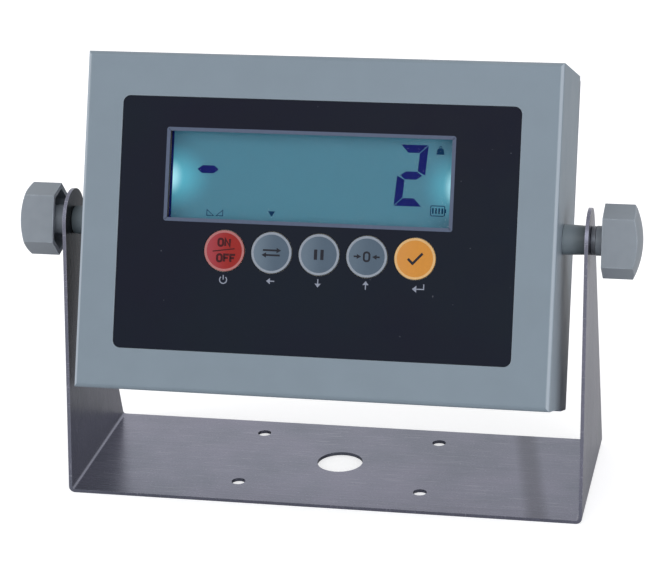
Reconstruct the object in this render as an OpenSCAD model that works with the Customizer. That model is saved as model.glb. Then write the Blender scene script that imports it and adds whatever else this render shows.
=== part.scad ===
// Bench weighing indicator: a folded steel housing that tilts between the ears of a U bracket,
// held at any angle by two clamping knobs.
// Origin: centre of the large hole at the underside of the bracket's base.
// +X is to the viewer's right, the face looks towards -Y, +Z is up.

/* [Housing] */
// Width across the two sides
housing_w = 200; // [192:1:240]
// Height measured up the face
housing_h = 141; // [136:1:170]
// Depth from the face to the back
housing_d = 62; // [56:0.5:80]
// Sheet thickness of the folded shell
wall_t = 1.5; // [1.2:0.1:2]
// Outer radius of the folded upright edges
edge_r = 2.5; // [2.1:0.1:5]
// Width of the flange that the rear cover closes on
flange_w = 13; // [12:0.5:14]
// Sheet thickness of the rear cover
cover_t = 1.2; // [1:0.1:2]
// Depth of the cover's lower lap under the housing
cover_lap = 19; // [12:0.5:24]
// Thickness of the gasket under the rear cover
gasket_t = 1; // [0.6:0.1:1.5]

/* [Tilt] */
// Depth of the tilt axis behind the face
pivot_back = 24.5; // [22:0.5:34]
// Lean of the face from upright at rest
rest_tilt = 22; // [0:1:60]
// Height of the tilt axis over the base plate
pivot_rise = 113; // [104:1:140]
// Distance of the tilt axis in front of the large hole
pivot_forward = 11; // [0:0.5:20]
// Space between a side of the housing and its ear
side_gap = 10; // [8:0.5:16]

/* [Bracket] */
// Sheet thickness of the bracket
bracket_t = 1.5; // [1.2:0.1:2]
// Inner radius of the bracket's two bends
bend_r = 1.2; // [1:0.1:4]
// Reach of the base in front of the large hole
base_front = 42.5; // [38:0.5:50]
// Reach of the base behind the large hole
base_back = 37.5; // [32:0.5:50]
// Radius of the round tip of each ear
tip_r = 13.5; // [11:0.5:16]
// Spacing of the fixing holes along the base
fix_x = 80; // [50:1:150]
// Spacing of the fixing holes across the base
fix_y = 50; // [40:1:56]
// Diameter of the fixing holes
fix_d = 6; // [4:0.5:8]
// Diameter of the large hole
centre_d = 20; // [14:0.5:26]

/* [Front panel] */
// Width of the panel overlay
overlay_w = 167; // [162:1:174]
// Height of the panel overlay
overlay_h = 105; // [98:1:118]
// Corner radius of the panel overlay
overlay_r = 3; // [1.5:0.5:6]
// Distance of the overlay's centre below the middle of the face
overlay_drop = 0.5; // [0:0.1:3]
// Thickness of the overlay film
overlay_t = 0.5; // [0.3:0.05:0.7]
// Depth of the overlay below the painted face
film_recess = 0.3; // [0.1:0.05:0.5]
// Thickness of the keypad circuit under the overlay
circuit_t = 0.8; // [0.75:0.05:1.2]

/* [Display] */
// Width of the clear window
window_w = 118.5; // [110:0.5:124]
// Height of the clear window
window_h = 36; // [30:0.5:40]
// Distance of the window's centre from the middle of the face, to the right
window_x = -3.5; // [-6:0.5:6]
// Height of the window's centre over the middle of the face
window_up = 20; // [18:0.5:26]
// Thickness of the clear window plate
window_t = 1.5; // [1:0.1:2]
// Overlap of the window plate behind the overlay
window_lap = 1.5; // [1:0.1:2]
// Thickness of the liquid crystal panel
lcd_t = 2.2; // [1.6:0.1:3]
// Thickness of the light guide behind it
guide_t = 3; // [2:0.1:4]

/* [Keys] */
// Diameter of a key
key_d = 17; // [13:0.5:18.5]
// Distance from one key to the next
key_pitch = 20; // [19.5:0.1:23]
// Distance of the middle key from the middle of the face, to the right
keys_x = 2.5; // [-6:0.5:6]
// Distance of the keys below the middle of the face
keys_down = 11; // [10:0.5:14]
// Travel of a key when it is pressed
key_travel = 0.3; // [0.1:0.05:0.35]

/* [Clamping knobs] */
// Length of a knob from tip to tip
knob_long = 31; // [27:0.5:36]
// Width of a knob across its two broad flats
knob_w = 20.5; // [19:0.5:26]
// Length of a knob's two broad flats
knob_flat = 20; // [16:0.5:23]
// Depth of a knob from its rim to its crown
knob_depth = 16; // [13:0.1:22]
// Rise of the domed crown over the tips
knob_rise = 3.6; // [1.5:0.1:4]
// Thickness of a knob's walls
knob_wall = 2; // [1.5:0.1:3]
// Diameter of a knob's hub
hub_d = 12.4; // [11.6:0.1:14]
// Reach of the hub past the rim
hub_reach = 2.9; // [1:0.1:5]
// Diameter of the clamping stud
stud_d = 6; // [4:0.5:6.5]
// Length of the stud held in the pivot boss
thread_hold = 10; // [9:0.5:14]
// Diameter of the clamping washer
washer_d = 12; // [10:0.1:14]
// Thickness of the clamping washer
washer_t = 2; // [1:0.1:3]
// Diameter of a pivot boss at the housing
boss_root_d = 12.8; // [12:0.1:15]
// Diameter of a pivot boss at its ear
boss_tip_d = 12; // [10:0.1:12.5]

/* [Electronics] */
// Width of the main circuit board
board_w = 164; // [160:1:168]
// Height of the main circuit board
board_h = 96; // [88:1:104]
// Thickness of the main circuit board
board_t = 1.6; // [1:0.1:2]
// Width of the battery
battery_w = 97; // [70:1:110]
// Height of the battery
battery_h = 51; // [40:1:54]
// Depth of the battery
battery_d = 24; // [15:0.5:25]
// Distance of each cable gland from the middle of the cover
gland_x = 45; // [25:1:70]
// Height of the cable glands over the lower edge of the cover
gland_rise = 28.5; // [26.5:0.5:32.5]
// Diameter of the bore in a gland's seal
gland_bore_d = 6; // [3:0.5:7]

/* [Hidden] */
$fn = 64;
// Overrun of every cut past the face it opens
over = 0.6;
// Clearance of a shaft that turns in its bore
run_fit = 0.1;
// Clearance round a piece that is fixed in its seat
seat_fit = 0.05;
// Clearance between flat faces that turn on each other
face_play = 0.1;
// Clearance round the overlay, the window and each key
panel_gap = 0.2;
key_gap = 0.3;

// Key positions counted from the middle key
KEY_STEPS = [-2, -1, 0, 1, 2];
key_rim_w = 0.8;
key_rim_rise = 0.2;
dome_d = 10;
dome_rise = 0.25;
tail_w = 14;
tail_t = 0.3;
tail_x = 50;
// Height of the tail's connector over the lower edge of the circuit board
tail_rise = 14.5;
tail_down = board_h / 2 + overlay_drop - tail_rise;
connector_w = 19;
connector_h = 5;
connector_d = 5;

// Display stack
display_seal_t = 1.5;
seal_gap = 0.4;
lcd_margin_x = 4;
lcd_margin_z = 3.5;
lcd_ledge = 2.5;
lcd_w = window_w + 2 * lcd_margin_x;
lcd_h = window_h + 2 * lcd_margin_z;
holder_t = 1.6;
holder_floor_t = 3;
led_w = 2;
led_h = 5;
led_pitch = 9;
guide_w = lcd_w - 2 * (led_w + seat_fit);
guide_h = lcd_h - 2 * seat_fit;

// Circuit board and its fixings
board_inset = 5;
standoff_d = 6;
m3_d = 3;
m3_head_d = 5.6;
m3_head_t = 2;
tapping_grip = 6;
chip_t = 1.6;
chip_w = 14;
small_chip_w = 9;
small_chip_h = 6;
chip_x = 22;
chip_up = 24;
sounder_d = 12;
sounder_t = 8;
sounder_hole_d = 2;
sounder_x = 64;
capacitor_d = 8;
capacitor_t = 12;
terminal_w = 48;
terminal_h = 9;
terminal_d = 11;
terminal_ways = 8;
wire_hole_d = 3.4;
terminal_screw_d = 3;

// Rear cover fixings
cover_screw_d = 4;
cover_head_d = 7.4;
cover_head_t = 2.4;
cover_screw_inset = 7;
clinch_d = 8;
clinch_t = 3;
screw_grip = 5;
drive_d = 2.6;
drive_depth = 1.2;
battery_up = 14;
battery_gap = 0.3;
strap_t = 1;
strap_w = 18;
strap_foot = 12;
weld_stud_d = 3.5;
weld_stud_reach = 6;
strap_nut_w = 7;
strap_nut_t = 2.5;

// Cable glands
gland_thread_d = 15;
gland_hex = 19;
gland_down = housing_h / 2 - gland_rise;
gland_flange_t = 5;
gland_inner_reach = 8;
gland_barrel_reach = 8;
gland_nut_t = 4;
gland_cap_reach = 19;
gland_cap_gap = 1.4;
gland_cap_hex_t = 7.6;
gland_wall = 1.4;
seal_reach = 9;

// Pivot bosses
spigot_d = 10;
spigot_reach = 7;
boss_nut_w = 15;
boss_nut_t = 4;
head_w = 10;
head_t = 4;
hub_cover_t = 1.5;
// Rest angles of the two knobs
left_knob_turn = 3;
right_knob_turn = 7;
// Turn of a knob's crown from its tips
crown_turn = 30;

// Depths below the face, from the front of the stack to its back
circuit_y = film_recess + overlay_t;
recess_d = circuit_y + circuit_t;
panel_back = recess_d + wall_t;
lcd_y = panel_back + display_seal_t;
guide_y = lcd_y + lcd_t;
holder_floor_y = guide_y + guide_t;
board_y = holder_floor_y + holder_floor_t;
board_back = board_y + board_t;
// Floor of the key pockets: a dome stands on it, and a pressed key just reaches the dome
pocket_y = circuit_y + key_travel + seat_fit + dome_rise;
shell_d = housing_d - cover_t - gasket_t;
cover_y = housing_d - cover_t;

// Tilt axis and ears
pivot_y = -pivot_forward;
pivot_z = bracket_t + pivot_rise;
ear_in = housing_w / 2 + side_gap;
ear_out = ear_in + bracket_t;

// Battery strap
battery_y = cover_y - battery_gap - battery_d;
strap_hole_x = battery_w / 2 + battery_gap + (strap_t + strap_foot) / 2;

// Clamping knobs, counted outwards from the ear
hub_x = ear_out + face_play + washer_t + face_play;
rim_x = hub_x + hub_reach;
crown_x = rim_x + knob_depth;
crown_r = (pow(knob_long / 2, 2) + pow(knob_rise, 2)) / (2 * knob_rise);
// Start of the stud's hexagon head, which is moulded into the hub
head_x = crown_x - knob_wall - hub_cover_t - head_t;

// Placing: the housing's own frame has its origin in the middle of the face, with Y going in
module in_housing() {
    translate([0, pivot_y, pivot_z]) rotate([-rest_tilt, 0, 0])
        translate([0, -pivot_back, 0]) children();
}

// One side of the tilt axis: +X runs out through the ear, from the middle of the housing
module on_axis(side) {
    in_housing() translate([0, pivot_back, 0]) mirror([side < 0 ? 1 : 0, 0, 0]) children();
}

// Shape helpers
module rounded(w, h, r) {
    square([w - 2 * r, h], center = true);
    square([w, h - 2 * r], center = true);
    for (sx = [-1, 1], sz = [-1, 1])
        translate([sx * (w / 2 - r), sz * (h / 2 - r)]) circle(r);
}

// Turns a drawing of the face into a plate of thickness t, from depth y inwards
module plate(y, t) {
    translate([0, y + t, 0]) rotate([90, 0, 0]) linear_extrude(t) children();
}

// A round pin or hole that runs inwards from depth y
module pin(d, y, t, x = 0, z = 0) {
    translate([x, y, z]) rotate([-90, 0, 0]) cylinder(d = d, h = t);
}

// A hexagon measured across its flats
module hexagon(w) {
    circle(d = w / cos(30), $fn = 6);
}

// A rod along X between two places
module rod(d, x0, x1) {
    translate([x0, 0, 0]) rotate([0, 90, 0]) cylinder(d = d, h = x1 - x0);
}

// A pan head with a driving recess, standing on depth y and facing the back
module pan_head(d, t, y, x, z) {
    difference() {
        intersection() {
            pin(d, y, t, x, z);
            translate([x, y + t - d, z]) sphere(r = d);
        }
        pin(drive_d, y + t - drive_depth, drive_depth + over, x, z);
    }
}

// Bracket
// Side outline of the ears in the Y-Z plane: two straight edges that run into the round tip
module ear_outline() {
    tip = [pivot_y, pivot_z];
    front = [-base_front, bracket_t];
    back = [base_back, bracket_t];
    polygon([
        [-base_front, 0], [base_back, 0], back,
        tangent_point(back, tip, 1), tip, tangent_point(front, tip, -1), front
    ]);
    translate(tip) circle(tip_r);
}

// Point where the line from p touches the tip circle about c, on the given side
function tangent_point(p, c, side) =
    let (d = norm(p - c), away = acos(tip_r / d), to_p = atan2(p[1] - c[1], p[0] - c[0]))
    c + tip_r * [cos(to_p + side * away), sin(to_p + side * away)];

// Folded section of the bracket in the X-Z plane
module bracket_section(inset) {
    reach = ear_out - inset;
    r = bend_r + bracket_t - inset;
    top = pivot_z + tip_r + (inset > 0 ? over : 0);
    translate([-reach, inset + r]) square([2 * reach, top - inset - r]);
    translate([r - reach, inset]) square([2 * (reach - r), r + over]);
    for (s = [-1, 1]) translate([s * (reach - r), inset + r]) circle(r);
}

module stand_bracket() {
    color("slategray") difference() {
        intersection() {
            translate([0, base_back, 0]) rotate([90, 0, 0]) linear_extrude(base_front + base_back)
                difference() {
                    bracket_section(0);
                    bracket_section(bracket_t);
                }
            rotate([90, 0, 90]) translate([0, 0, -ear_out - over])
                linear_extrude(2 * (ear_out + over)) ear_outline();
        }
        for (sx = [-1, 1], sy = [-1, 1]) translate([sx * fix_x / 2, sy * fix_y / 2, -over])
            cylinder(d = fix_d, h = bracket_t + 2 * over);
        translate([0, 0, -over]) cylinder(d = centre_d, h = bracket_t + 2 * over);
        translate([0, pivot_y, pivot_z]) rod(stud_d + 2 * run_fit, -ear_out - over, ear_out + over);
    }
}

// Housing
// Outline of the folded shell across one of its widths, drawn in by inset
module shell_plan(width, inset, depth) {
    half = width / 2 - inset;
    r = edge_r - inset;
    translate([-half, inset + r]) square([2 * half, depth - inset - r]);
    translate([r - half, inset]) square([2 * (half - r), r + over]);
    for (s = [-1, 1]) translate([s * (half - r), inset + r]) circle(r);
}

// Box whose four front edges are bent round, drawn in by inset
module shell_form(inset, depth) {
    intersection() {
        translate([0, 0, -housing_h / 2]) linear_extrude(housing_h)
            shell_plan(housing_w, inset, depth);
        translate([-housing_w / 2, 0, 0]) rotate([90, 0, 90]) linear_extrude(housing_w)
            mirror([1, -1, 0]) shell_plan(housing_h, inset, depth);
    }
}

// Places of the six cover screws
function cover_screw_places() =
    [for (sx = [-1, 0, 1], sz = [-1, 1])
        [sx * (housing_w / 2 - cover_screw_inset), sz * (housing_h / 2 - cover_screw_inset)]];

module front_housing() {
    flange_y = shell_d - wall_t;
    seat_w = window_w + 2 * (window_lap + panel_gap);
    seat_h = window_h + 2 * (window_lap + panel_gap);
    inner_w = housing_w - 2 * wall_t;
    inner_h = housing_h - 2 * wall_t;
    color("lightslategray") in_housing() difference() {
        union() {
            difference() {
                shell_form(0, shell_d);
                shell_form(wall_t, flange_y);
                plate(flange_y - over, wall_t + 2 * over)
                    square([inner_w - 2 * flange_w, inner_h - 2 * flange_w], center = true);
            }
            // The sheet is pushed in behind the overlay
            translate([0, 0, -overlay_drop]) plate(wall_t, recess_d)
                rounded(overlay_w + 2 * (panel_gap + wall_t), overlay_h + 2 * (panel_gap + wall_t),
                        overlay_r + panel_gap + wall_t);
            for (p = cover_screw_places()) pin(clinch_d, flange_y - clinch_t, clinch_t + over, p[0], p[1]);
        }
        translate([0, 0, -overlay_drop]) plate(-over, recess_d + over)
            rounded(overlay_w + 2 * panel_gap, overlay_h + 2 * panel_gap, overlay_r + panel_gap);
        translate([window_x, 0, window_up]) plate(0, panel_back + over)
            square([seat_w, seat_h], center = true);
        translate([tail_x, 0, -tail_down]) plate(0, panel_back + over)
            square([tail_w + 2 * panel_gap, tail_t + 2 * panel_gap], center = true);
        translate([0, pivot_back, 0])
            rod(spigot_d + 2 * seat_fit, -housing_w / 2 - over, housing_w / 2 + over);
        for (p = cover_screw_places())
            pin(cover_screw_d + 2 * seat_fit, flange_y - clinch_t - over,
                clinch_t + wall_t + 2 * over, p[0], p[1]);
    }
}

module rear_cover() {
    lap_front = housing_d - cover_lap;
    color("slategray") in_housing() {
        difference() {
            union() {
                plate(cover_y, cover_t) rounded(housing_w, housing_h, edge_r);
                // Lower lap, folded forward under the housing
                translate([-housing_w / 2, lap_front, -housing_h / 2 - cover_t])
                    cube([housing_w, cover_lap - cover_t, cover_t]);
                translate([0, housing_d - cover_t, -housing_h / 2]) rotate([0, 90, 0])
                    cylinder(r = cover_t, h = housing_w, center = true);
                plate(cover_y, cover_t) translate([0, edge_r / 2 - housing_h / 2])
                    square([housing_w, edge_r], center = true);
            }
            for (p = cover_screw_places())
                pin(cover_screw_d + 2 * seat_fit, cover_y - over, cover_t + 2 * over, p[0], p[1]);
            for (s = [-1, 1])
                pin(gland_thread_d + 2 * seat_fit, cover_y - over, cover_t + 2 * over,
                    s * gland_x, -gland_down);
            // The fold leaves the space that the housing's lower wall fills
            translate([-housing_w / 2 - over, 0, -housing_h / 2])
                cube([housing_w + 2 * over, cover_y, housing_h]);
        }
        for (s = [-1, 1])
            pin(weld_stud_d, cover_y - weld_stud_reach, weld_stud_reach, s * strap_hole_x, battery_up);
    }
}

module cover_gasket() {
    color("dimgray") in_housing() difference() {
        plate(shell_d, gasket_t)
            square([housing_w - 2 * panel_gap, housing_h - 2 * panel_gap], center = true);
        plate(shell_d - over, gasket_t + 2 * over)
            square([housing_w - 2 * (wall_t + flange_w), housing_h - 2 * (wall_t + flange_w)], center = true);
        for (p = cover_screw_places())
            pin(cover_screw_d + 2 * seat_fit, shell_d - over, gasket_t + 2 * over, p[0], p[1]);
    }
}

module cover_screws() {
    color("silver") in_housing() for (p = cover_screw_places()) {
        pin(cover_screw_d, housing_d - screw_grip, screw_grip, p[0], p[1]);
        pan_head(cover_head_d, cover_head_t, housing_d, p[0], p[1]);
    }
}

// Pivot bosses, fixed in the sides of the housing and tapped for the clamping studs
module pivot_boss(side) {
    color("lightslategray") on_axis(side) difference() {
        union() {
            translate([housing_w / 2, 0, 0]) rotate([0, 90, 0])
                cylinder(d1 = boss_root_d, d2 = boss_tip_d, h = side_gap - face_play);
            rod(spigot_d, housing_w / 2 - wall_t - spigot_reach, housing_w / 2 + over);
        }
        rod(stud_d + 2 * seat_fit, housing_w / 2 - wall_t - spigot_reach - over, ear_in);
    }
}

module boss_nuts() {
    for (side = [-1, 1]) color("silver") on_axis(side)
        translate([housing_w / 2 - wall_t - boss_nut_t, 0, 0]) rotate([0, 90, 0])
            linear_extrude(boss_nut_t) difference() {
                hexagon(boss_nut_w);
                circle(d = spigot_d + 2 * seat_fit);
            }
}

// Front panel
module key_places() {
    for (k = KEY_STEPS) translate([keys_x + k * key_pitch, 0, -keys_down]) children();
}

module panel_overlay() {
    color("midnightblue") in_housing() difference() {
        translate([0, 0, -overlay_drop]) plate(film_recess, overlay_t)
            rounded(overlay_w, overlay_h, overlay_r);
        translate([window_x, 0, window_up]) plate(0, circuit_y + over)
            square([window_w, window_h], center = true);
        key_places() pin(key_d + 2 * key_gap, 0, circuit_y + over);
    }
}

module keypad_circuit() {
    seat_w = window_w + 2 * (window_lap + panel_gap);
    seat_h = window_h + 2 * (window_lap + panel_gap);
    color("darkslategray") in_housing() difference() {
        translate([0, 0, -overlay_drop]) plate(circuit_y, circuit_t) rounded(overlay_w, overlay_h, overlay_r);
        translate([window_x, 0, window_up]) plate(0, recess_d + over) square([seat_w, seat_h], center = true);
        key_places() pin(key_d + 2 * key_gap, 0, pocket_y);
    }
}

// Tactile domes on the floor of the key pockets
module snap_domes() {
    steps = 6;
    color("silver") in_housing() key_places() translate([0, pocket_y, 0]) rotate([90, 0, 0])
        rotate_extrude() polygon([
            [0, 0],
            for (i = [0 : steps]) [dome_d / 2 * cos(90 * i / steps), dome_rise * sin(90 * i / steps)]
        ]);
}

module keypad_tail() {
    color("goldenrod") in_housing() translate([tail_x, 0, -tail_down])
        plate(recess_d, board_y - connector_d / 2 - recess_d) square([tail_w, tail_t], center = true);
}

module keypad_connector() {
    color("ivory") in_housing() translate([tail_x, 0, -tail_down]) difference() {
        plate(board_y - connector_d, connector_d) square([connector_w, connector_h], center = true);
        plate(board_y - connector_d - over, connector_d / 2 + over)
            square([tail_w + 2 * seat_fit, tail_t + 2 * seat_fit], center = true);
    }
}

// One key: a disc with a raised rim that moves straight in
module panel_key(step, tint) {
    color(tint) in_housing() translate([keys_x + step * key_pitch, 0, -keys_down]) {
        pin(key_d, 0, circuit_y);
        difference() {
            pin(key_d, -key_rim_rise, key_rim_rise + over / 2);
            pin(key_d - 2 * key_rim_w, -key_rim_rise - over, key_rim_rise + over);
        }
    }
}

module key_power() { panel_key(KEY_STEPS[0], "orangered"); }
module key_unit() { panel_key(KEY_STEPS[1], "lightslategray"); }
module key_hold() { panel_key(KEY_STEPS[2], "lightslategray"); }
module key_zero() { panel_key(KEY_STEPS[3], "lightslategray"); }
module key_set() { panel_key(KEY_STEPS[4], "orange"); }

// Display
module at_window() {
    in_housing() translate([window_x, 0, window_up]) children();
}

module display_window() {
    color("lightcyan", 0.4) at_window() plate(circuit_y, window_t)
        square([window_w + 2 * window_lap, window_h + 2 * window_lap], center = true);
}

module display_seal() {
    color("black") at_window() plate(panel_back, display_seal_t) difference() {
        square([lcd_w, lcd_h], center = true);
        square([window_w + 2 * seal_gap, window_h + 2 * seal_gap], center = true);
    }
}

// Two glass sheets, the front one shorter so that the contact ledge stays free
module lcd_panel() {
    color("cadetblue") at_window() {
        plate(lcd_y, lcd_t / 2)
            translate([0, lcd_ledge / 2]) square([lcd_w, lcd_h - lcd_ledge], center = true);
        plate(lcd_y + lcd_t / 2, lcd_t / 2) square([lcd_w, lcd_h], center = true);
    }
}

module backlight_guide() {
    color("white") at_window() plate(guide_y, guide_t) square([guide_w, guide_h], center = true);
}

// Side lights at both ends of the guide
module backlight_leds() {
    color("lightyellow") at_window() for (s = [-1, 1], k = [-1, 0, 1])
        translate([s * (lcd_w - led_w) / 2, 0, k * led_pitch]) plate(guide_y, guide_t)
            square([led_w, led_h], center = true);
}

module lcd_holder() {
    color("black") at_window() difference() {
        plate(lcd_y, board_y - lcd_y)
            square([lcd_w + 2 * (holder_t + seat_fit), lcd_h + 2 * (holder_t + seat_fit)], center = true);
        plate(lcd_y - over, holder_floor_y - lcd_y + over)
            square([lcd_w + 2 * seat_fit, lcd_h + 2 * seat_fit], center = true);
        for (s = [-1, 1]) plate(holder_floor_y - over, holder_floor_t + 2 * over)
            translate([s * lcd_w / 4, 0]) square([lcd_w / 3, lcd_h / 2], center = true);
    }
}

// Circuit board
module at_board_corners() {
    for (sx = [-1, 1], sz = [-1, 1])
        translate([sx * (board_w / 2 - board_inset), 0, sz * (board_h / 2 - board_inset) - overlay_drop])
            children();
}

module main_board() {
    color("darkgreen") in_housing() difference() {
        translate([0, 0, -overlay_drop]) plate(board_y, board_t) rounded(board_w, board_h, board_inset / 2);
        at_board_corners() pin(m3_d + 2 * run_fit, board_y - over, board_t + 2 * over);
    }
}

module board_standoffs() {
    color("silver") in_housing() at_board_corners() difference() {
        plate(panel_back, board_y - panel_back) hexagon(standoff_d);
        pin(m3_d, board_y - tapping_grip, tapping_grip + over);
    }
}

module board_screws() {
    color("silver") in_housing() at_board_corners() {
        pin(m3_d - 2 * seat_fit, board_back - tapping_grip, tapping_grip);
        pan_head(m3_head_d, m3_head_t, board_back, 0, 0);
    }
}

module control_chips() {
    color("black") in_housing() {
        translate([-chip_x, 0, chip_up]) plate(board_back, chip_t) square(chip_w, center = true);
        for (k = [0, 1]) translate([chip_x * (k + 1), 0, chip_up]) plate(board_back, chip_t)
            square([small_chip_w, small_chip_h], center = true);
    }
}

module supply_capacitors() {
    color("darkslateblue") in_housing() for (k = [0, 1])
        pin(capacitor_d, board_back, capacitor_t, sounder_x, -k * sounder_d);
}

module sounder() {
    color("black") in_housing() difference() {
        pin(sounder_d, board_back, sounder_t, -sounder_x, 0);
        pin(sounder_hole_d, board_back + sounder_t / 2, sounder_t, -sounder_x, 0);
    }
}

// Screw terminals for the wires that come in through the glands
module terminal_block() {
    way = terminal_w / terminal_ways;
    color("seagreen") in_housing() translate([0, 0, terminal_h - board_h / 2]) difference() {
        plate(board_back, terminal_d) square([terminal_w, terminal_h], center = true);
        for (k = [0 : terminal_ways - 1]) translate([(k + 0.5) * way - terminal_w / 2, 0, 0]) {
            translate([0, board_back + terminal_d / 3, -terminal_h])
                cylinder(d = wire_hole_d, h = terminal_h);
            pin(terminal_screw_d, board_back + terminal_d - drive_depth, drive_depth + over);
        }
    }
}

// Battery on the inside of the rear cover
module battery() {
    color("gray") in_housing() translate([0, 0, battery_up])
        plate(battery_y, battery_d) rounded(battery_w, battery_h, strap_t);
}

module battery_strap() {
    half = battery_w / 2 + battery_gap;
    front = battery_y - battery_gap;
    color("silver") in_housing() difference() {
        translate([0, 0, battery_up - strap_w / 2]) linear_extrude(strap_w) polygon([
            [-half - strap_foot, cover_y], [-half - strap_foot, cover_y - strap_t],
            [-half - strap_t, cover_y - strap_t], [-half - strap_t, front - strap_t],
            [half + strap_t, front - strap_t], [half + strap_t, cover_y - strap_t],
            [half + strap_foot, cover_y - strap_t], [half + strap_foot, cover_y],
            [half, cover_y], [half, front], [-half, front], [-half, cover_y]
        ]);
        for (s = [-1, 1])
            pin(weld_stud_d + 2 * seat_fit, cover_y - strap_t - over, strap_t + 2 * over,
                s * strap_hole_x, battery_up);
    }
}

module strap_nuts() {
    color("silver") in_housing() for (s = [-1, 1]) translate([s * strap_hole_x, 0, battery_up])
        plate(cover_y - strap_t - strap_nut_t, strap_nut_t) difference() {
            hexagon(strap_nut_w);
            circle(d = weld_stud_d + 2 * seat_fit);
        }
}

// Cable glands in the rear cover, with Y counted from the cover's outside
module at_glands() {
    in_housing() for (s = [-1, 1]) translate([s * gland_x, housing_d, -gland_down]) children();
}

module cable_glands() {
    color("dimgray") at_glands() difference() {
        union() {
            plate(0, gland_flange_t) hexagon(gland_hex);
            pin(gland_thread_d, -cover_t - gland_inner_reach, cover_t + gland_inner_reach + over);
            pin(gland_thread_d, gland_flange_t - over, gland_barrel_reach + over);
        }
        pin(gland_bore_d + gland_wall, -cover_t - gland_inner_reach - over,
            cover_t + gland_inner_reach + gland_flange_t + gland_barrel_reach + 2 * over);
        pin(gland_thread_d - 2 * gland_wall, gland_flange_t, gland_barrel_reach + over);
    }
}

module gland_nuts() {
    color("dimgray") at_glands() plate(-cover_t - gland_nut_t, gland_nut_t) difference() {
        hexagon(gland_hex);
        circle(d = gland_thread_d + 2 * seat_fit);
    }
}

module gland_seals() {
    color("black") at_glands() difference() {
        pin(gland_thread_d - 2 * (gland_wall + seat_fit), gland_flange_t + seat_fit, seal_reach);
        pin(gland_bore_d, 0, gland_flange_t + seal_reach + 2 * over);
    }
}

// Cap nut: a hexagon behind a domed nose
module gland_caps() {
    cap_y = gland_flange_t + gland_cap_gap;
    nose_r = gland_hex * 0.6;
    color("dimgray") at_glands() difference() {
        union() {
            plate(cap_y, gland_cap_hex_t) hexagon(gland_hex);
            intersection() {
                pin(gland_hex, cap_y, gland_cap_reach - cap_y);
                translate([0, gland_cap_reach - nose_r, 0]) sphere(nose_r);
            }
        }
        pin(gland_thread_d + 2 * seat_fit, 0, gland_flange_t + seal_reach + 2 * seat_fit);
        pin(gland_bore_d + gland_wall, 0, gland_cap_reach + over);
    }
}

// Clamping knobs, drawn for the right side with X running out
// Outline of a knob: a long hexagon with two broad flats, drawn in by inset
module knob_outline(inset) {
    slope = (knob_long - knob_flat) / knob_w;
    a = knob_w / 2 - inset;
    tip = knob_long / 2 - inset * sqrt(1 + pow(slope, 2));
    b = tip - a * slope;
    polygon([[a, b], [0, tip], [-a, b], [-a, -b], [0, -tip], [a, -b]]);
}

// Ball that rounds a knob's crown
module knob_crown(r) {
    translate([crown_x - crown_r, 0, 0]) rotate([crown_turn, 0, 0]) sphere(r);
}

module knob_body(side, turn) {
    color("gray") on_axis(side) rotate([turn, 0, 0]) difference() {
        union() {
            difference() {
                intersection() {
                    translate([rim_x, 0, 0]) rotate([90, 0, 90]) linear_extrude(knob_depth) knob_outline(0);
                    knob_crown(crown_r);
                }
                intersection() {
                    translate([rim_x - over, 0, 0]) rotate([90, 0, 90]) linear_extrude(knob_depth)
                        knob_outline(knob_wall);
                    knob_crown(crown_r - knob_wall);
                }
            }
            rod(hub_d, hub_x, crown_x - knob_wall);
        }
        rod(stud_d + 2 * seat_fit, hub_x - over, head_x + over);
        translate([head_x - seat_fit, 0, 0]) rotate([90, 0, 90])
            linear_extrude(head_t + 2 * seat_fit) hexagon(head_w + 2 * seat_fit);
    }
}

module clamp_stud(side, turn) {
    color("silver") on_axis(side) rotate([turn, 0, 0]) {
        rod(stud_d, ear_in - thread_hold, head_x + over);
        translate([head_x, 0, 0]) rotate([90, 0, 90]) linear_extrude(head_t) hexagon(head_w);
    }
}

module clamp_washer(side) {
    color("silver") on_axis(side) difference() {
        rod(washer_d, ear_out + face_play, ear_out + face_play + washer_t);
        rod(stud_d + 2 * run_fit, ear_out, ear_out + 2 * face_play + washer_t);
    }
}

module left_pivot_boss() { pivot_boss(-1); }
module right_pivot_boss() { pivot_boss(1); }
module left_washer() { clamp_washer(-1); }
module left_knob() { knob_body(-1, left_knob_turn); }
module left_stud() { clamp_stud(-1, left_knob_turn); }
module right_washer() { clamp_washer(1); }
module right_knob() { knob_body(1, right_knob_turn); }
module right_stud() { clamp_stud(1, right_knob_turn); }

stand_bracket();
front_housing();
rear_cover();
cover_gasket();
cover_screws();
left_pivot_boss();
right_pivot_boss();
boss_nuts();
panel_overlay();
keypad_circuit();
snap_domes();
keypad_tail();
keypad_connector();
display_window();
display_seal();
lcd_panel();
backlight_guide();
backlight_leds();
lcd_holder();
main_board();
board_standoffs();
board_screws();
control_chips();
supply_capacitors();
sounder();
terminal_block();
battery();
battery_strap();
strap_nuts();
cable_glands();
gland_nuts();
gland_seals();
gland_caps();
key_power();
key_unit();
key_hold();
key_zero();
key_set();
left_washer();
left_knob();
left_stud();
right_washer();
right_knob();
right_stud();
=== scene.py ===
import logging
import math
from dataclasses import dataclass
from enum import Enum
from typing import Any, Iterable, Sequence

import bmesh
import bpy
from mathutils import Matrix, Vector


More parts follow.
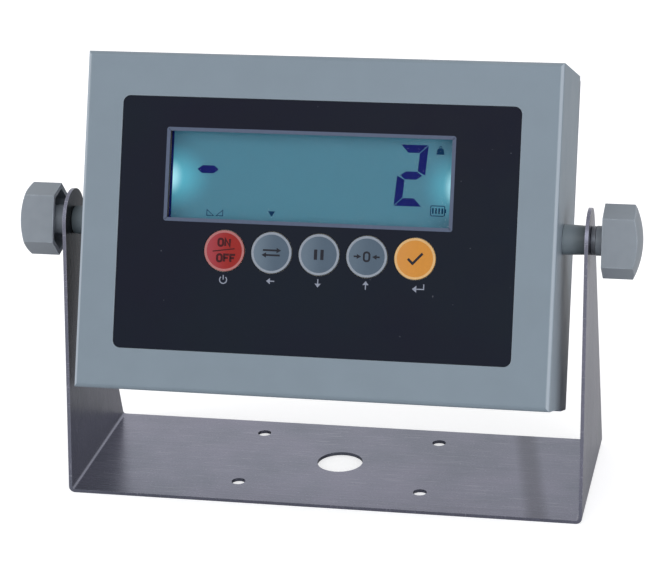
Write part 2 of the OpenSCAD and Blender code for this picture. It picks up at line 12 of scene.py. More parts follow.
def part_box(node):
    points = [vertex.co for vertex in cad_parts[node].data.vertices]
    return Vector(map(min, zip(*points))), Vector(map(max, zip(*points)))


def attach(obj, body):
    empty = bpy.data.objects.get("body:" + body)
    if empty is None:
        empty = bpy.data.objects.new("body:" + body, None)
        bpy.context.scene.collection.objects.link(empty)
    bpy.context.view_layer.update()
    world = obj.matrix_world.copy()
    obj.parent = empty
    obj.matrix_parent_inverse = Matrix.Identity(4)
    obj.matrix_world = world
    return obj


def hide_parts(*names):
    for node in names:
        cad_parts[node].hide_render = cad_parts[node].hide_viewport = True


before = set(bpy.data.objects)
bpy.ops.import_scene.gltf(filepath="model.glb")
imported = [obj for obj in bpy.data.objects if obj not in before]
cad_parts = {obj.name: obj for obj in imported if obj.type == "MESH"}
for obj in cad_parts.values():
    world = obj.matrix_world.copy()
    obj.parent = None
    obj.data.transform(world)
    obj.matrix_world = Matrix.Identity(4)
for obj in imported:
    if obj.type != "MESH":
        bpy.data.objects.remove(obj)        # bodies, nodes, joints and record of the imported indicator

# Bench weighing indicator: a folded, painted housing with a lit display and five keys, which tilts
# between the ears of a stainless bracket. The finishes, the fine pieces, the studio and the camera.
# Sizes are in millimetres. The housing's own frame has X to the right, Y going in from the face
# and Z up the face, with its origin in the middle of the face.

MM = 0.001
FULL_TURN = 2 * math.pi

log = logging.getLogger("indicator")

Tint = tuple[float, float, float]
Point = tuple[float, float, float]
Spot = tuple[float, float]
Socket = bpy.types.NodeSocket


def tint(red: int, green: int, blue: int) -> Tint:
    """Turns a colour as it shows on a screen into the linear values that shaders use.

    Args:
        red: Red, from 0 to 255.
        green: Green, from 0 to 255.
        blue: Blue, from 0 to 255.

    Returns:
        The linear red, green and blue.
    """
    top, toe, slope, lift, power = 255, 0.04045, 12.92, 0.055, 2.4
    shares = (red / top, green / top, blue / top)
    return tuple(c / slope if c <= toe else ((c + lift) / (1 + lift)) ** power for c in shares)


def rgba(colour: Tint) -> tuple[float, float, float, float]:
    """Returns the colour with full opacity."""
    return (*colour, 1.0)


def placed_object(name: str, data: Any) -> bpy.types.Object:
    """Makes an object and puts it in the scene.

    Args:
        name: Its name.
        data: Its mesh, lamp or camera.

    Returns:
        The object.
    """
    obj = bpy.data.objects.new(name, data)
    bpy.context.scene.collection.objects.link(obj)
    return obj


class Sketch:
    """Adds nodes to one shader tree and links them."""

    def __init__(self, tree: bpy.types.NodeTree) -> None:
        """Keeps the tree that gets the nodes."""
        self.tree = tree

    def feed(self, node: bpy.types.Node, inputs: dict[Any, Any]) -> None:
        """Sets or links the inputs of a node.

        Args:
            node: The node.
            inputs: Values or sockets by the input's name or number. None leaves an input as it is.
        """
        for name, value in inputs.items():
            socket = node.inputs[name]
            if isinstance(value, bpy.types.NodeSocket):
                self.tree.links.new(value, socket)
            elif value is not None:
                socket.default_value = rgba(value) if socket.type == "RGBA" else value

    def add(self, kind: str, inputs: dict[Any, Any] | None = None, **settings: Any) -> bpy.types.Node:
        """Adds a node.

        Args:
            kind: The node's type in Blender.
            inputs: Values or sockets for its inputs, by name or number.
            settings: Settings of the node itself.

        Returns:
            The new node.
        """
        node = self.tree.nodes.new(kind)
        for name, value in settings.items():
            setattr(node, name, value)
        self.feed(node, inputs or {})
        return node

    def calc(self, kind: str, a: Any, b: Any = 0.0, clamp: bool = False) -> Socket:
        """Returns the result of a sum on a and b, kept between 0 and 1 if clamped."""
        return self.add("ShaderNodeMath", {0: a, 1: b}, operation=kind, use_clamp=clamp).outputs[0]

    def parts(self, vector: Any) -> Any:
        """Returns the X, Y and Z sockets of a vector."""
        return self.add("ShaderNodeSeparateXYZ", {0: vector}).outputs

    def scaled(self, colour: Any, share: Any) -> Socket:
        """Returns a colour made lighter or darker by that share."""
        return self.add("ShaderNodeVectorMath", {0: colour, "Scale": share}, operation="SCALE").outputs[0]

    def dot(self, a: Any, b: Any) -> Socket:
        """Returns how nearly two directions agree, 1 when they are the same."""
        return self.add("ShaderNodeVectorMath", {0: a, 1: b}, operation="DOT_PRODUCT").outputs["Value"]

    def blend(self, share: Any, a: Any, b: Any) -> Socket:
        """Mixes two colours.

        Args:
            share: How much of b shows.
            a: Colour or socket.
            b: Colour or socket.

        Returns:
            The mixed colour's socket.
        """
        first, second, mixed = 6, 7, 2
        node = self.add("ShaderNodeMix", {0: share, first: a, second: b}, data_type="RGBA")
        return node.outputs[mixed]

    def spread(self, value: Any, low: float, high: float, start: float = 0.0, end: float = 1.0) -> Socket:
        """Stretches a value between two limits to a new range, with soft ends.

        Args:
            value: The socket that is read.
            low: The value that becomes start.
            high: The value that becomes end.
            start: Result at low.
            end: Result at high.

        Returns:
            The result's socket.
        """
        inputs = {0: value, 1: low, 2: high, 3: start, 4: end}
        return self.add("ShaderNodeMapRange", inputs, interpolation_type="SMOOTHSTEP").outputs[0]

    def noise(self, at: Any, scale: Any, detail: float = 3.0) -> Socket:
        """Adds a noise texture.

        Args:
            at: The place's socket.
            scale: Clouds per metre.
            detail: Levels of finer clouds.

        Returns:
            The noise value's socket, around a half.
        """
        node = self.add("ShaderNodeTexNoise", {"Vector": at, "Scale": scale, "Detail": detail})
        return node.outputs[0]

    def stretched(self, at: Any, along: Sequence[Any]) -> Socket:
        """Scales a place by another amount along each axis.

        Args:
            at: The place's socket.
            along: The three amounts, as numbers or sockets.

        Returns:
            The scaled place's socket.
        """
        parts = self.parts(at)
        scaled = {n: self.calc("MULTIPLY", parts[n], along[n]) for n in range(len(along))}
        return self.add("ShaderNodeCombineXYZ", scaled).outputs[0]


class Effect(Enum):
    """Surface effects that several finishes share, each a shader node group."""

    MOTTLE = "mottled_colour"
    GRAIN = "fine_grain"
    BRUSHED = "brushed_lines"
    WEAR = "edge_wear"
    DUST = "settled_dust"
    SCUFFS = "fine_scuffs"


class Effects:
    """Builds each shared effect once, as a node group."""

    COLOUR, NUMBER, PLACE = "NodeSocketColor", "NodeSocketFloat", "NodeSocketVector"
    CLOUD: Spot = (0.3, 0.7)
    LINE: Spot = (0.25, 0.75)
    LEVEL: Spot = (0.6, 0.8)
    UPWARD: Spot = (0.6, 1.0)
    MARK: Spot = (0.66, 0.7)
    PLAIN, FINE, RICH = 1.0, 2.0, 6.0
    SMALL_CLOUDS, STREAK, SCUFF_STRETCH = 5.0, 1 / 8, 26.0
    WEAR_PATCH, DUST_PATCH = 160.0, 70.0
    EDGE_SAMPLES = 4

    def __init__(self) -> None:
        """Starts with no group built."""
        self.built: dict[Effect, bpy.types.NodeTree] = {}
        self.makers = {
            Effect.MOTTLE: self.mottle, Effect.GRAIN: self.grain, Effect.BRUSHED: self.brushed,
            Effect.WEAR: self.wear, Effect.DUST: self.dust, Effect.SCUFFS: self.scuffs,
        }

    def get(self, effect: Effect) -> bpy.types.NodeTree:
        """Gives an effect's node group, built when it is first asked for.

        Args:
            effect: Which one.

        Returns:
            The group.
        """
        if effect not in self.built:
            self.built[effect] = self.makers[effect](effect.value)
        return self.built[effect]

    def blank(self, name: str, inputs: dict[str, Any], outputs: dict[str, str]) -> tuple[Sketch, Any, Any]:
        """Starts a node group that reads a place.

        Args:
            name: Its name.
            inputs: The other inputs' names, each with its first value.
            outputs: Each output's name, with its socket type.

        Returns:
            The sketch of its tree, its input sockets and its output node.
        """
        tree = bpy.data.node_groups.new(name, "ShaderNodeTree")
        tree.interface.new_socket("Place", in_out="INPUT", socket_type=self.PLACE)
        for title, value in inputs.items():
            kind = self.NUMBER if isinstance(value, float) else self.COLOUR
            tree.interface.new_socket(title, in_out="INPUT", socket_type=kind).default_value = value
        for title, kind in outputs.items():
            tree.interface.new_socket(title, in_out="OUTPUT", socket_type=kind)
        sketch = Sketch(tree)
        return sketch, sketch.add("NodeGroupInput").outputs, sketch.add("NodeGroupOutput")

    def mottle(self, name: str) -> bpy.types.NodeTree:
        """Colour that drifts a little lighter and darker, in large and small clouds.

        Args:
            name: The group's name.

        Returns:
            The group.
        """
        inputs = {"Colour": rgba((1.0, 1.0, 1.0)), "Scale": 20.0, "Amount": 0.1}
        s, given, out = self.blank(name, inputs, {"Colour": self.COLOUR, "Mask": self.NUMBER})
        wide = s.noise(given["Place"], given["Scale"])
        fine = s.noise(given["Place"], s.calc("MULTIPLY", given["Scale"], self.SMALL_CLOUDS))
        mask = s.spread(s.calc("MULTIPLY", s.calc("ADD", wide, fine), 1 / 2), *self.CLOUD)
        swing = s.calc("MULTIPLY", s.calc("SUBTRACT", mask, 1 / 2), given["Amount"])
        s.feed(out, {"Colour": s.scaled(given["Colour"], s.calc("ADD", swing, 1.0)), "Mask": mask})
        return s.tree

    def grain(self, name: str) -> bpy.types.NodeTree:
        """Height of a fine moulded or sprayed grain.

        Args:
            name: The group's name.

        Returns:
            The group.
        """
        s, given, out = self.blank(name, {"Scale": 900.0}, {"Height": self.NUMBER})
        s.feed(out, {"Height": s.noise(given["Place"], given["Scale"], self.FINE)})
        return s.tree

    def brushed(self, name: str) -> bpy.types.NodeTree:
        """Fine lines of rolled sheet: along X on level faces, and up the upright ones.

        Args:
            name: The group's name.

        Returns:
            The group.
        """
        inputs = {"Fineness": 3000.0, "Run": 12.0}
        s, given, out = self.blank(name, inputs, {"Lines": self.NUMBER, "Streaks": self.NUMBER})
        normal = s.add("ShaderNodeNewGeometry").outputs["True Normal"]
        level = s.spread(s.calc("ABSOLUTE", s.parts(normal)[2]), *self.LEVEL)
        for title, coarse in (("Lines", 1.0), ("Streaks", self.STREAK)):
            across = s.calc("MULTIPLY", given["Fineness"], coarse)
            along = s.calc("MULTIPLY", given["Run"], coarse)
            on_flat = s.noise(s.stretched(given["Place"], (along, across, across)), 1.0)
            on_ears = s.noise(s.stretched(given["Place"], (across, across, along)), 1.0)
            gap = s.calc("SUBTRACT", on_flat, on_ears)
            both = s.calc("ADD", on_ears, s.calc("MULTIPLY", gap, level))
            s.feed(out, {title: s.spread(both, *self.LINE)})
        return s.tree

    def wear(self, name: str) -> bpy.types.NodeTree:
        """Mask of the outer edges, broken up in patches.

        Args:
            name: The group's name.

        Returns:
            The group.
        """
        s, given, out = self.blank(name, {"Width": 0.0006, "Gain": 2.0}, {"Mask": self.NUMBER})
        soft = s.add("ShaderNodeBevel", {"Radius": given["Width"]}, samples=self.EDGE_SAMPLES).outputs[0]
        match = s.dot(soft, s.add("ShaderNodeNewGeometry").outputs["Normal"])
        edge = s.calc("MULTIPLY", s.calc("SUBTRACT", 1.0, match), given["Gain"], clamp=True)
        patch = s.spread(s.noise(given["Place"], self.WEAR_PATCH), *self.CLOUD)
        s.feed(out, {"Mask": s.calc("MULTIPLY", edge, patch, clamp=True)})
        return s.tree

    def dust(self, name: str) -> bpy.types.NodeTree:
        """Mask of a thin dust that lies on faces turned upwards.

        Args:
            name: The group's name.

        Returns:
            The group.
        """
        s, given, out = self.blank(name, {"Amount": 0.1}, {"Mask": self.NUMBER})
        normal = s.add("ShaderNodeNewGeometry").outputs["Normal"]
        level = s.spread(s.parts(normal)[2], *self.UPWARD)
        patch = s.spread(s.noise(given["Place"], self.DUST_PATCH, self.RICH), *self.CLOUD)
        lying = s.calc("MULTIPLY", level, patch)
        s.feed(out, {"Mask": s.calc("MULTIPLY", lying, given["Amount"], clamp=True)})
        return s.tree

    def scuffs(self, name: str) -> bpy.types.NodeTree:
        """Mask of short, thin handling marks in two directions.

        Args:
            name: The group's name.

        Returns:
            The group.
        """
        s, given, out = self.blank(name, {"Scale": 60.0}, {"Mask": self.NUMBER})
        run, thin = given["Scale"], s.calc("MULTIPLY", given["Scale"], self.SCUFF_STRETCH)
        marks = [
            s.spread(s.noise(s.stretched(given["Place"], order), 1.0, self.PLAIN), *self.MARK)
            for order in ((run, thin, thin), (thin, thin, run))
        ]
        s.feed(out, {"Mask": s.calc("MAXIMUM", *marks, clamp=True)})
        return s.tree


EFFECTS = Effects()


class Recipe(Sketch):
    """One material's tree, with its main shader in place."""

    def __init__(self, name: str) -> None:
        """Makes the material.

        Args:
            name: Its name.
        """
        self.material = bpy.data.materials.new(name)
        self.material.use_nodes = True
        super().__init__(self.material.node_tree)
        self.shader = self.tree.nodes["Principled BSDF"]
        self.output = self.tree.nodes["Material Output"]
        self.place = self.add("ShaderNodeTexCoord").outputs["Object"]

    def effect(self, effect: Effect, **inputs: Any) -> Any:
        """Places a shared effect with those inputs and returns its output sockets."""
        inputs = {"Place": self.place, **inputs}
        return self.add("ShaderNodeGroup", inputs, node_tree=EFFECTS.get(effect)).outputs

    def mottled(self, colour: Any, scale: float, amount: float) -> Any:
        """Returns the sockets of a mottled colour of that scale and amount."""
        return self.effect(Effect.MOTTLE, Colour=colour, Scale=scale, Amount=amount)

    def worn(self, width: float, gain: float) -> Socket:
        """Returns the mask of the edges to that width in millimetres; it gives wear and painted edge
        highlights.
        """
        return self.effect(Effect.WEAR, Width=width * MM, Gain=gain)["Mask"]

    def relief(self, height: Any, depth: float) -> Socket:
        """Adds a bump of that depth in millimetres and returns its normal."""
        bump = self.add("ShaderNodeBump", {"Height": height, "Distance": depth * MM, "Strength": 1.0})
        return bump.outputs[0]

    def finish(self, colour: Any, roughness: Any, normal: Any = None,
               **plain: float) -> bpy.types.Material:
        """Feeds the main shader.

        Args:
            colour: Colour or socket of the base.
            roughness: Value or socket.
            normal: Socket of a bump, or None.
            plain: Values that are the same all over, by the shader's names with underscores.

        Returns:
            The material.
        """
        self.feed(self.shader, {"Base Color": colour, "Roughness": roughness, "Normal": normal})
        self.feed(self.shader, {title.replace("_", " "): value for title, value in plain.items()})
        return self.material

    def shown(self, mixed: bpy.types.Node) -> bpy.types.Material:
        """Shows a mixed shader instead of the main one and returns the material."""
        self.tree.links.new(mixed.outputs[0], self.output.inputs[0])
        return self.material


@dataclass(frozen=True)
class Finish:
    """A surface finish: name, colour, and how its roughness, clouds and fine grain vary.

    Depths and widths are in millimetres. Clouds, grain, scuffs and specks are counted per metre.
    """

    name: str
    colour: Tint
    rough: float = 0.5
    swing: float = 0.1
    clouds: float = 60.0
    drift: float = 0.1
    gloss: float = 0.5
    grain: float = 2400.0
    grain_depth: float = 0.008

    def make(self) -> bpy.types.Material:
        """Returns the finish's material, made once."""
        return bpy.data.materials.get(self.name) or self.build(Recipe(self.name))

    def build(self, r: Recipe) -> bpy.types.Material:
        """Builds the material; each finish has its own way.

        Args:
            r: The recipe that is filled in.

        Returns:
            The material.
        """
        raise NotImplementedError

    def body(self, r: Recipe) -> Any:
        """Returns the sockets of the main colour with its clouds."""
        return r.mottled(self.colour, self.clouds, self.drift)

    def uneven(self, r: Recipe, mask: Any) -> Socket:
        """Returns a roughness that swings round the finish's own with a mask."""
        return r.spread(mask, 0.0, 1.0, self.rough - self.swing / 2, self.rough + self.swing / 2)

    def grained(self, r: Recipe) -> Socket:
        """Returns the normal of the fine grain."""
        return r.relief(r.effect(Effect.GRAIN, Scale=self.grain)["Height"], self.grain_depth)


@dataclass(frozen=True)
class SatinPaint(Finish):
    """Sprayed satin enamel: slight orange peel and a little dust; edges paler from wear and a painted
    highlight; a painted highlight on the round folds and painted light on the lower sides; on the bosses,
    painted shade towards the ears.
    """

    swing: float = 0.08
    clouds: float = 14.0
    drift: float = 0.07
    gloss: float = 0.35
    grain: float = 520.0
    grain_depth: float = 0.012
    edge: Tint = tint(172, 182, 192)
    edge_width: float = 1.1
    edge_gain: float = 1.4
    edge_share: float = 0.35
    dust: Tint = tint(176, 176, 172)
    dusting: float = 0.12
    lean: float = 22.0
    # painted highlight on the round folds, and painted light on the lower part of the sides
    fold_highlight: Tint = tint(206, 216, 228)
    fold_highlight_bend: Spot = (0.3, 0.48)
    fold_highlight_share: float = 0.42
    lit_side_facing: Spot = (0.9, 0.98)
    lit_side_height: Spot = (105.0, 140.0)
    lit_side_share: float = 0.16
    # painted shade towards the ears, used on the bosses
    ear_shade: Tint = tint(44, 52, 54)
    ear_shade_reach: Spot = (103.0, 110.0)
    ear_shade_share: float = 0.0

    def painted_light(self, r: Recipe) -> Socket:
        """Mask of painted light: a painted highlight on the round folds beside the face, and painted light
        on the sides' lower part.

        Args:
            r: The recipe.

        Returns:
            The mask's socket.
        """
        normal = r.add("ShaderNodeTexCoord").outputs["Normal"]
        lean = math.radians(self.lean)
        ahead = r.dot(normal, (0.0, -math.cos(lean), math.sin(lean)))
        aside = r.calc("ABSOLUTE", r.parts(normal)[0])
        fold_highlight_mask = r.spread(r.calc("MULTIPLY", aside, ahead), *self.fold_highlight_bend, 0.0, self.fold_highlight_share)
        low, high = (z * MM for z in self.lit_side_height)
        lower = r.spread(r.parts(r.place)[2], low, high, self.lit_side_share, 0.0)
        return r.calc("MAXIMUM", fold_highlight_mask, r.calc("MULTIPLY", r.spread(aside, *self.lit_side_facing), lower))

    def build(self, r: Recipe) -> bpy.types.Material:
        """Builds the enamel.

        Args:
            r: The recipe.

        Returns:
            The material.
        """
        body = self.body(r)
        # paler edges: partly wear, partly a painted highlight
        worn = r.worn(self.edge_width, self.edge_gain)
        tone = r.blend(r.calc("MULTIPLY", worn, self.edge_share), body["Colour"], self.edge)
        # painted highlight on the folds and painted light on the lower sides
        tone = r.blend(self.painted_light(r), tone, self.fold_highlight)
        # painted shade: darker towards the ears
        if self.ear_shade_share:
            across = r.calc("ABSOLUTE", r.parts(r.place)[0])
            shade_start, shade_end = (x * MM for x in self.ear_shade_reach)
            tone = r.blend(r.spread(across, shade_start, shade_end, 0.0, self.ear_shade_share), tone, self.ear_shade)
        tone = r.blend(r.effect(Effect.DUST, Amount=self.dusting)["Mask"], tone, self.dust)
        return r.finish(tone, self.uneven(r, body["Mask"]), self.grained(r), Specular_IOR_Level=self.gloss)


@dataclass(frozen=True)
class BrushedSheet(Finish):
    """Brushed stainless sheet: fine lines, wide streaks, handling marks, brighter sheared edges, and
    painted shade and painted dark reflections on the left ear and the base.
    """

    clouds: float = 9.0
    drift: float = 0.16
    edge: Tint = tint(190, 190, 200)
    edge_width: float = 0.5
    edge_gain: float = 2.5
    edge_share: float = 0.55
    warm: Tint = tint(132, 128, 146)
    warm_share: float = 0.5
    fineness: float = 4200.0
    run: float = 16.0
    line_depth: float = 0.005
    line_share: float = 0.12
    streak_share: float = 0.3
    streak_dark: float = 0.82
    scuffs: float = 55.0
    scuff_share: float = 0.22
    scuff_rough: float = 0.08
    scuff_depth: float = 0.6
    shade: Tint = tint(27, 28, 34)
    level_facing: Spot = (0.6, 0.9)
    ear_facing: Spot = (0.5, 0.95)
    ear_height: Spot = (40.0, 110.0)
    ear_low: float = 0.38
    ear_top: float = 0.96
    left_edge: Spot = (-99.7, -95.2)
    left_slant: float = 0.306
    left_share: float = 0.1
    right_edge: Spot = (-20.0, 60.0)
    right_share: float = 0.1
    band_at: float = 84.5
    band_width: Spot = (1.0, 8.5)
    band_slant: float = 0.19
    band_share: float = 0.42

    def shaded(self, r: Recipe) -> Socket:
        """Mask of painted shade inside the left ear, and of painted shade and painted dark reflections at
        both ends and in a soft band of the base.

        Args:
            r: The recipe.

        Returns:
            The mask's socket.
        """

        def slanted(slant: float) -> Socket:
            """Returns the place across the base, slanted by that share of its depth."""
            return r.calc("ADD", across, r.calc("MULTIPLY", inward, slant))

        def between(value: Any, ends: Spot, start: float, end: float) -> Socket:
            """Spreads a place between two ends in millimetres."""
            return r.spread(value, ends[0] * MM, ends[1] * MM, start, end)

        across, inward, height = r.parts(r.place)[:3]
        facing = r.parts(r.add("ShaderNodeTexCoord").outputs["Normal"])
        on_left = r.calc("LESS_THAN", across, 0.0)
        ear = r.calc("MULTIPLY", r.spread(facing[0], *self.ear_facing), on_left)
        ear = r.calc("MULTIPLY", ear, between(height, self.ear_height, self.ear_low, self.ear_top))
        left = between(slanted(self.left_slant), self.left_edge, self.left_share, 0.0)
        right = between(across, self.right_edge, 0.0, self.right_share)
        away = r.calc("ABSOLUTE", r.calc("SUBTRACT", slanted(self.band_slant), self.band_at * MM))
        band = between(away, self.band_width, self.band_share, 0.0)
        base = r.calc("MAXIMUM", right, r.calc("MAXIMUM", left, band))
        return r.calc("MAXIMUM", ear, r.calc("MULTIPLY", base, r.spread(facing[2], *self.level_facing)),
                      clamp=True)

    def build(self, r: Recipe) -> bpy.types.Material:
        """Builds the brushed steel.

        Args:
            r: The recipe.

        Returns:
            The material.
        """
        lines = r.effect(Effect.BRUSHED, Fineness=self.fineness, Run=self.run)
        body = self.body(r)
        tone = r.blend(r.calc("MULTIPLY", body["Mask"], self.warm_share), body["Colour"], self.warm)
        dark = r.scaled(tone, self.streak_dark)
        tone = r.blend(r.calc("MULTIPLY", lines["Streaks"], self.streak_share), tone, dark)
        tone = r.blend(r.calc("MULTIPLY", lines["Lines"], self.line_share), tone, dark)
        scuffs = r.effect(Effect.SCUFFS, Scale=self.scuffs)["Mask"]
        tone = r.blend(r.calc("MULTIPLY", scuffs, self.scuff_share), tone, self.edge)
        # painted shade inside the left ear, painted shade and painted dark reflections on the base
        tone = r.blend(self.shaded(r), tone, self.shade)
        worn = r.worn(self.edge_width, self.edge_gain)
        tone = r.blend(r.calc("MULTIPLY", worn, self.edge_share), tone, self.edge)
        rough = r.calc("ADD", self.uneven(r, lines["Lines"]), r.calc("MULTIPLY", scuffs, self.scuff_rough))
        height = r.calc("ADD", lines["Lines"], r.calc("MULTIPLY", scuffs, -self.scuff_depth))
        return r.finish(tone, rough, r.relief(height, self.line_depth), Metallic=1.0)


@dataclass(frozen=True)
class TurnedMetal(Finish):
    """Plated or turned metal of small parts, with faint stains and bright edges."""

    swing: float = 0.16
    clouds: float = 120.0
    drift: float = 0.18
    grain: float = 2600.0
    grain_depth: float = 0.004
    edge: Tint = tint(214, 214, 216)
    edge_width: float = 0.3
    edge_gain: float = 2.0
    edge_share: float = 0.5
    stain: Tint = tint(96, 94, 90)
    stain_share: float = 0.25

    def build(self, r: Recipe) -> bpy.types.Material:
        """Builds the metal.

        Args:
            r: The recipe.

        Returns:
            The material.
        """
        body = self.body(r)
        tone = r.blend(r.calc("MULTIPLY", body["Mask"], self.stain_share), body["Colour"], self.stain)
        worn = r.worn(self.edge_width, self.edge_gain)
        tone = r.blend(r.calc("MULTIPLY", worn, self.edge_share), tone, self.edge)
        return r.finish(tone, self.uneven(r, body["Mask"]), self.grained(r), Metallic=1.0)


@dataclass(frozen=True)
class MouldedPlastic(Finish):
    """Moulded plastic with a fine spark texture, drifting shade, and paler, smoother edges from polish
    wear, which on the knobs is mostly a painted highlight.
    """

    swing: float = 0.12
    clouds: float = 45.0
    gloss: float = 0.4
    grain: float = 1500.0
    grain_depth: float = 0.014
    edge_width: float = 0.8
    edge_gain: float = 1.6
    edge_lift: float = 1.5
    edge_smooth: float = 0.1
    polish_and_highlight: float = 0.25

    def build(self, r: Recipe) -> bpy.types.Material:
        """Builds the plastic.

        Args:
            r: The recipe.

        Returns:
            The material.
        """
        body = self.body(r)
        worn = r.worn(self.edge_width, self.edge_gain)
        # paler edges: polish wear, and a painted highlight
        light = r.scaled(body["Colour"], self.edge_lift)
        tone = r.blend(r.calc("MULTIPLY", worn, self.polish_and_highlight), body["Colour"], light)
        smoother = r.calc("MULTIPLY", worn, self.edge_smooth)
        rough = r.calc("SUBTRACT", self.uneven(r, body["Mask"]), smoother)
        return r.finish(tone, rough, self.grained(r), Specular_IOR_Level=self.gloss)


@dataclass(frozen=True)
class SoftRubber(Finish):
    """Matt rubber with a pale bloom and a fine grain."""

    clouds: float = 90.0
    drift: float = 0.25
    gloss: float = 0.3
    grain: float = 1900.0
    grain_depth: float = 0.02
    bloom: Tint = tint(84, 84, 86)
    bloom_share: float = 0.2

    def build(self, r: Recipe) -> bpy.types.Material:
        """Builds the rubber.

        Args:
            r: The recipe.

        Returns:
            The material.
        """
        body = self.body(r)
        tone = r.blend(r.calc("MULTIPLY", body["Mask"], self.bloom_share), body["Colour"], self.bloom)
        return r.finish(tone, self.uneven(r, body["Mask"]), self.grained(r), Specular_IOR_Level=self.gloss)


@dataclass(frozen=True)
class PanelFilm(Finish):
    """Dark printed film that leans from blue-green to violet, with a silk grain and a little lint."""

    clouds: float = 26.0
    drift: float = 0.2
    gloss: float = 0.12
    cool: Tint = tint(16, 28, 38)
    warm: Tint = tint(18, 17, 34)
    lean: float = 0.45
    lean_clouds: float = 13.0
    lint: Tint = tint(120, 124, 134)
    lint_share: float = 0.35
    lint_scale: float = 520.0
    lint_cut: Spot = (0.79, 0.83)

    def build(self, r: Recipe) -> bpy.types.Material:
        """Builds the film.

        Args:
            r: The recipe.

        Returns:
            The material.
        """
        body = self.body(r)
        wide = r.spread(r.noise(r.place, self.lean_clouds), *Effects.CLOUD)
        tone = r.blend(self.lean, body["Colour"], r.blend(wide, self.cool, self.warm))
        specks = r.spread(r.noise(r.place, self.lint_scale, Effects.PLAIN), *self.lint_cut)
        tone = r.blend(r.calc("MULTIPLY", specks, self.lint_share), tone, self.lint)
        return r.finish(tone, self.uneven(r, body["Mask"]), self.grained(r), Specular_IOR_Level=self.gloss)


@dataclass(frozen=True)
class KeyFilm(Finish):
    """Coloured film of a key: a painted highlight makes it paler towards its left side, and it has a silk
    grain.
    """

    swing: float = 0.14
    clouds: float = 160.0
    drift: float = 0.08
    gloss: float = 0.25
    glow: Tint = tint(200, 120, 130)
    left_highlight_share: float = 0.5
    radius: float = 8.5

    def build(self, r: Recipe) -> bpy.types.Material:
        """Builds the key's film.

        Args:
            r: The recipe.

        Returns:
            The material.
        """
        body = self.body(r)
        left, right = -self.radius * MM, self.radius / 3 * MM
        # painted highlight on the left side
        side = r.spread(r.parts(r.place)[0], left, right, self.left_highlight_share, 0.0)
        tone = r.blend(side, body["Colour"], self.glow)
        return r.finish(tone, self.uneven(r, body["Mask"]), self.grained(r), Specular_IOR_Level=self.gloss)


@dataclass(frozen=True)
class PrintInk(Finish):
    """Screen-printed ink with the slight unevenness of its mesh."""

    clouds: float = 700.0
    drift: float = 0.14
    gloss: float = 0.2
    grain: float = 3200.0
    grain_depth: float = 0.006

    def build(self, r: Recipe) -> bpy.types.Material:
        """Builds the ink.

        Args:
            r: The recipe.

        Returns:
            The material.
        """
        body = self.body(r)
        return r.finish(body["Colour"], self.uneven(r, body["Mask"]), self.grained(r),
                        Specular_IOR_Level=self.gloss)


@dataclass(frozen=True)
class ClearPlate(Finish):
    """Clear plate with a coat against glare and faint smears. Lamps reach what lies behind it."""

    gloss: float = 0.04
    bend: float = 1.04
    smears: float = 60.0
    smear_levels: float = 5.0
    smear_rough: float = 3.0

    def build(self, r: Recipe) -> bpy.types.Material:
        """Builds the clear plate.

        Args:
            r: The recipe.

        Returns:
            The material.
        """
        smear = r.spread(r.noise(r.place, self.smears, self.smear_levels), *Effects.CLOUD)
        rough = r.spread(smear, 0.0, 1.0, self.rough, self.rough * self.smear_rough)
        r.finish(self.colour, rough, None, Transmission_Weight=1.0, IOR=self.bend,
                 Specular_IOR_Level=self.gloss)
        lamp_ray = r.add("ShaderNodeLightPath").outputs["Is Shadow Ray"]
        clear = r.add("ShaderNodeBsdfTransparent").outputs[0]
        return r.shown(r.add("ShaderNodeMixShader", {0: lamp_ray, 1: r.shader.outputs[0], 2: clear}))


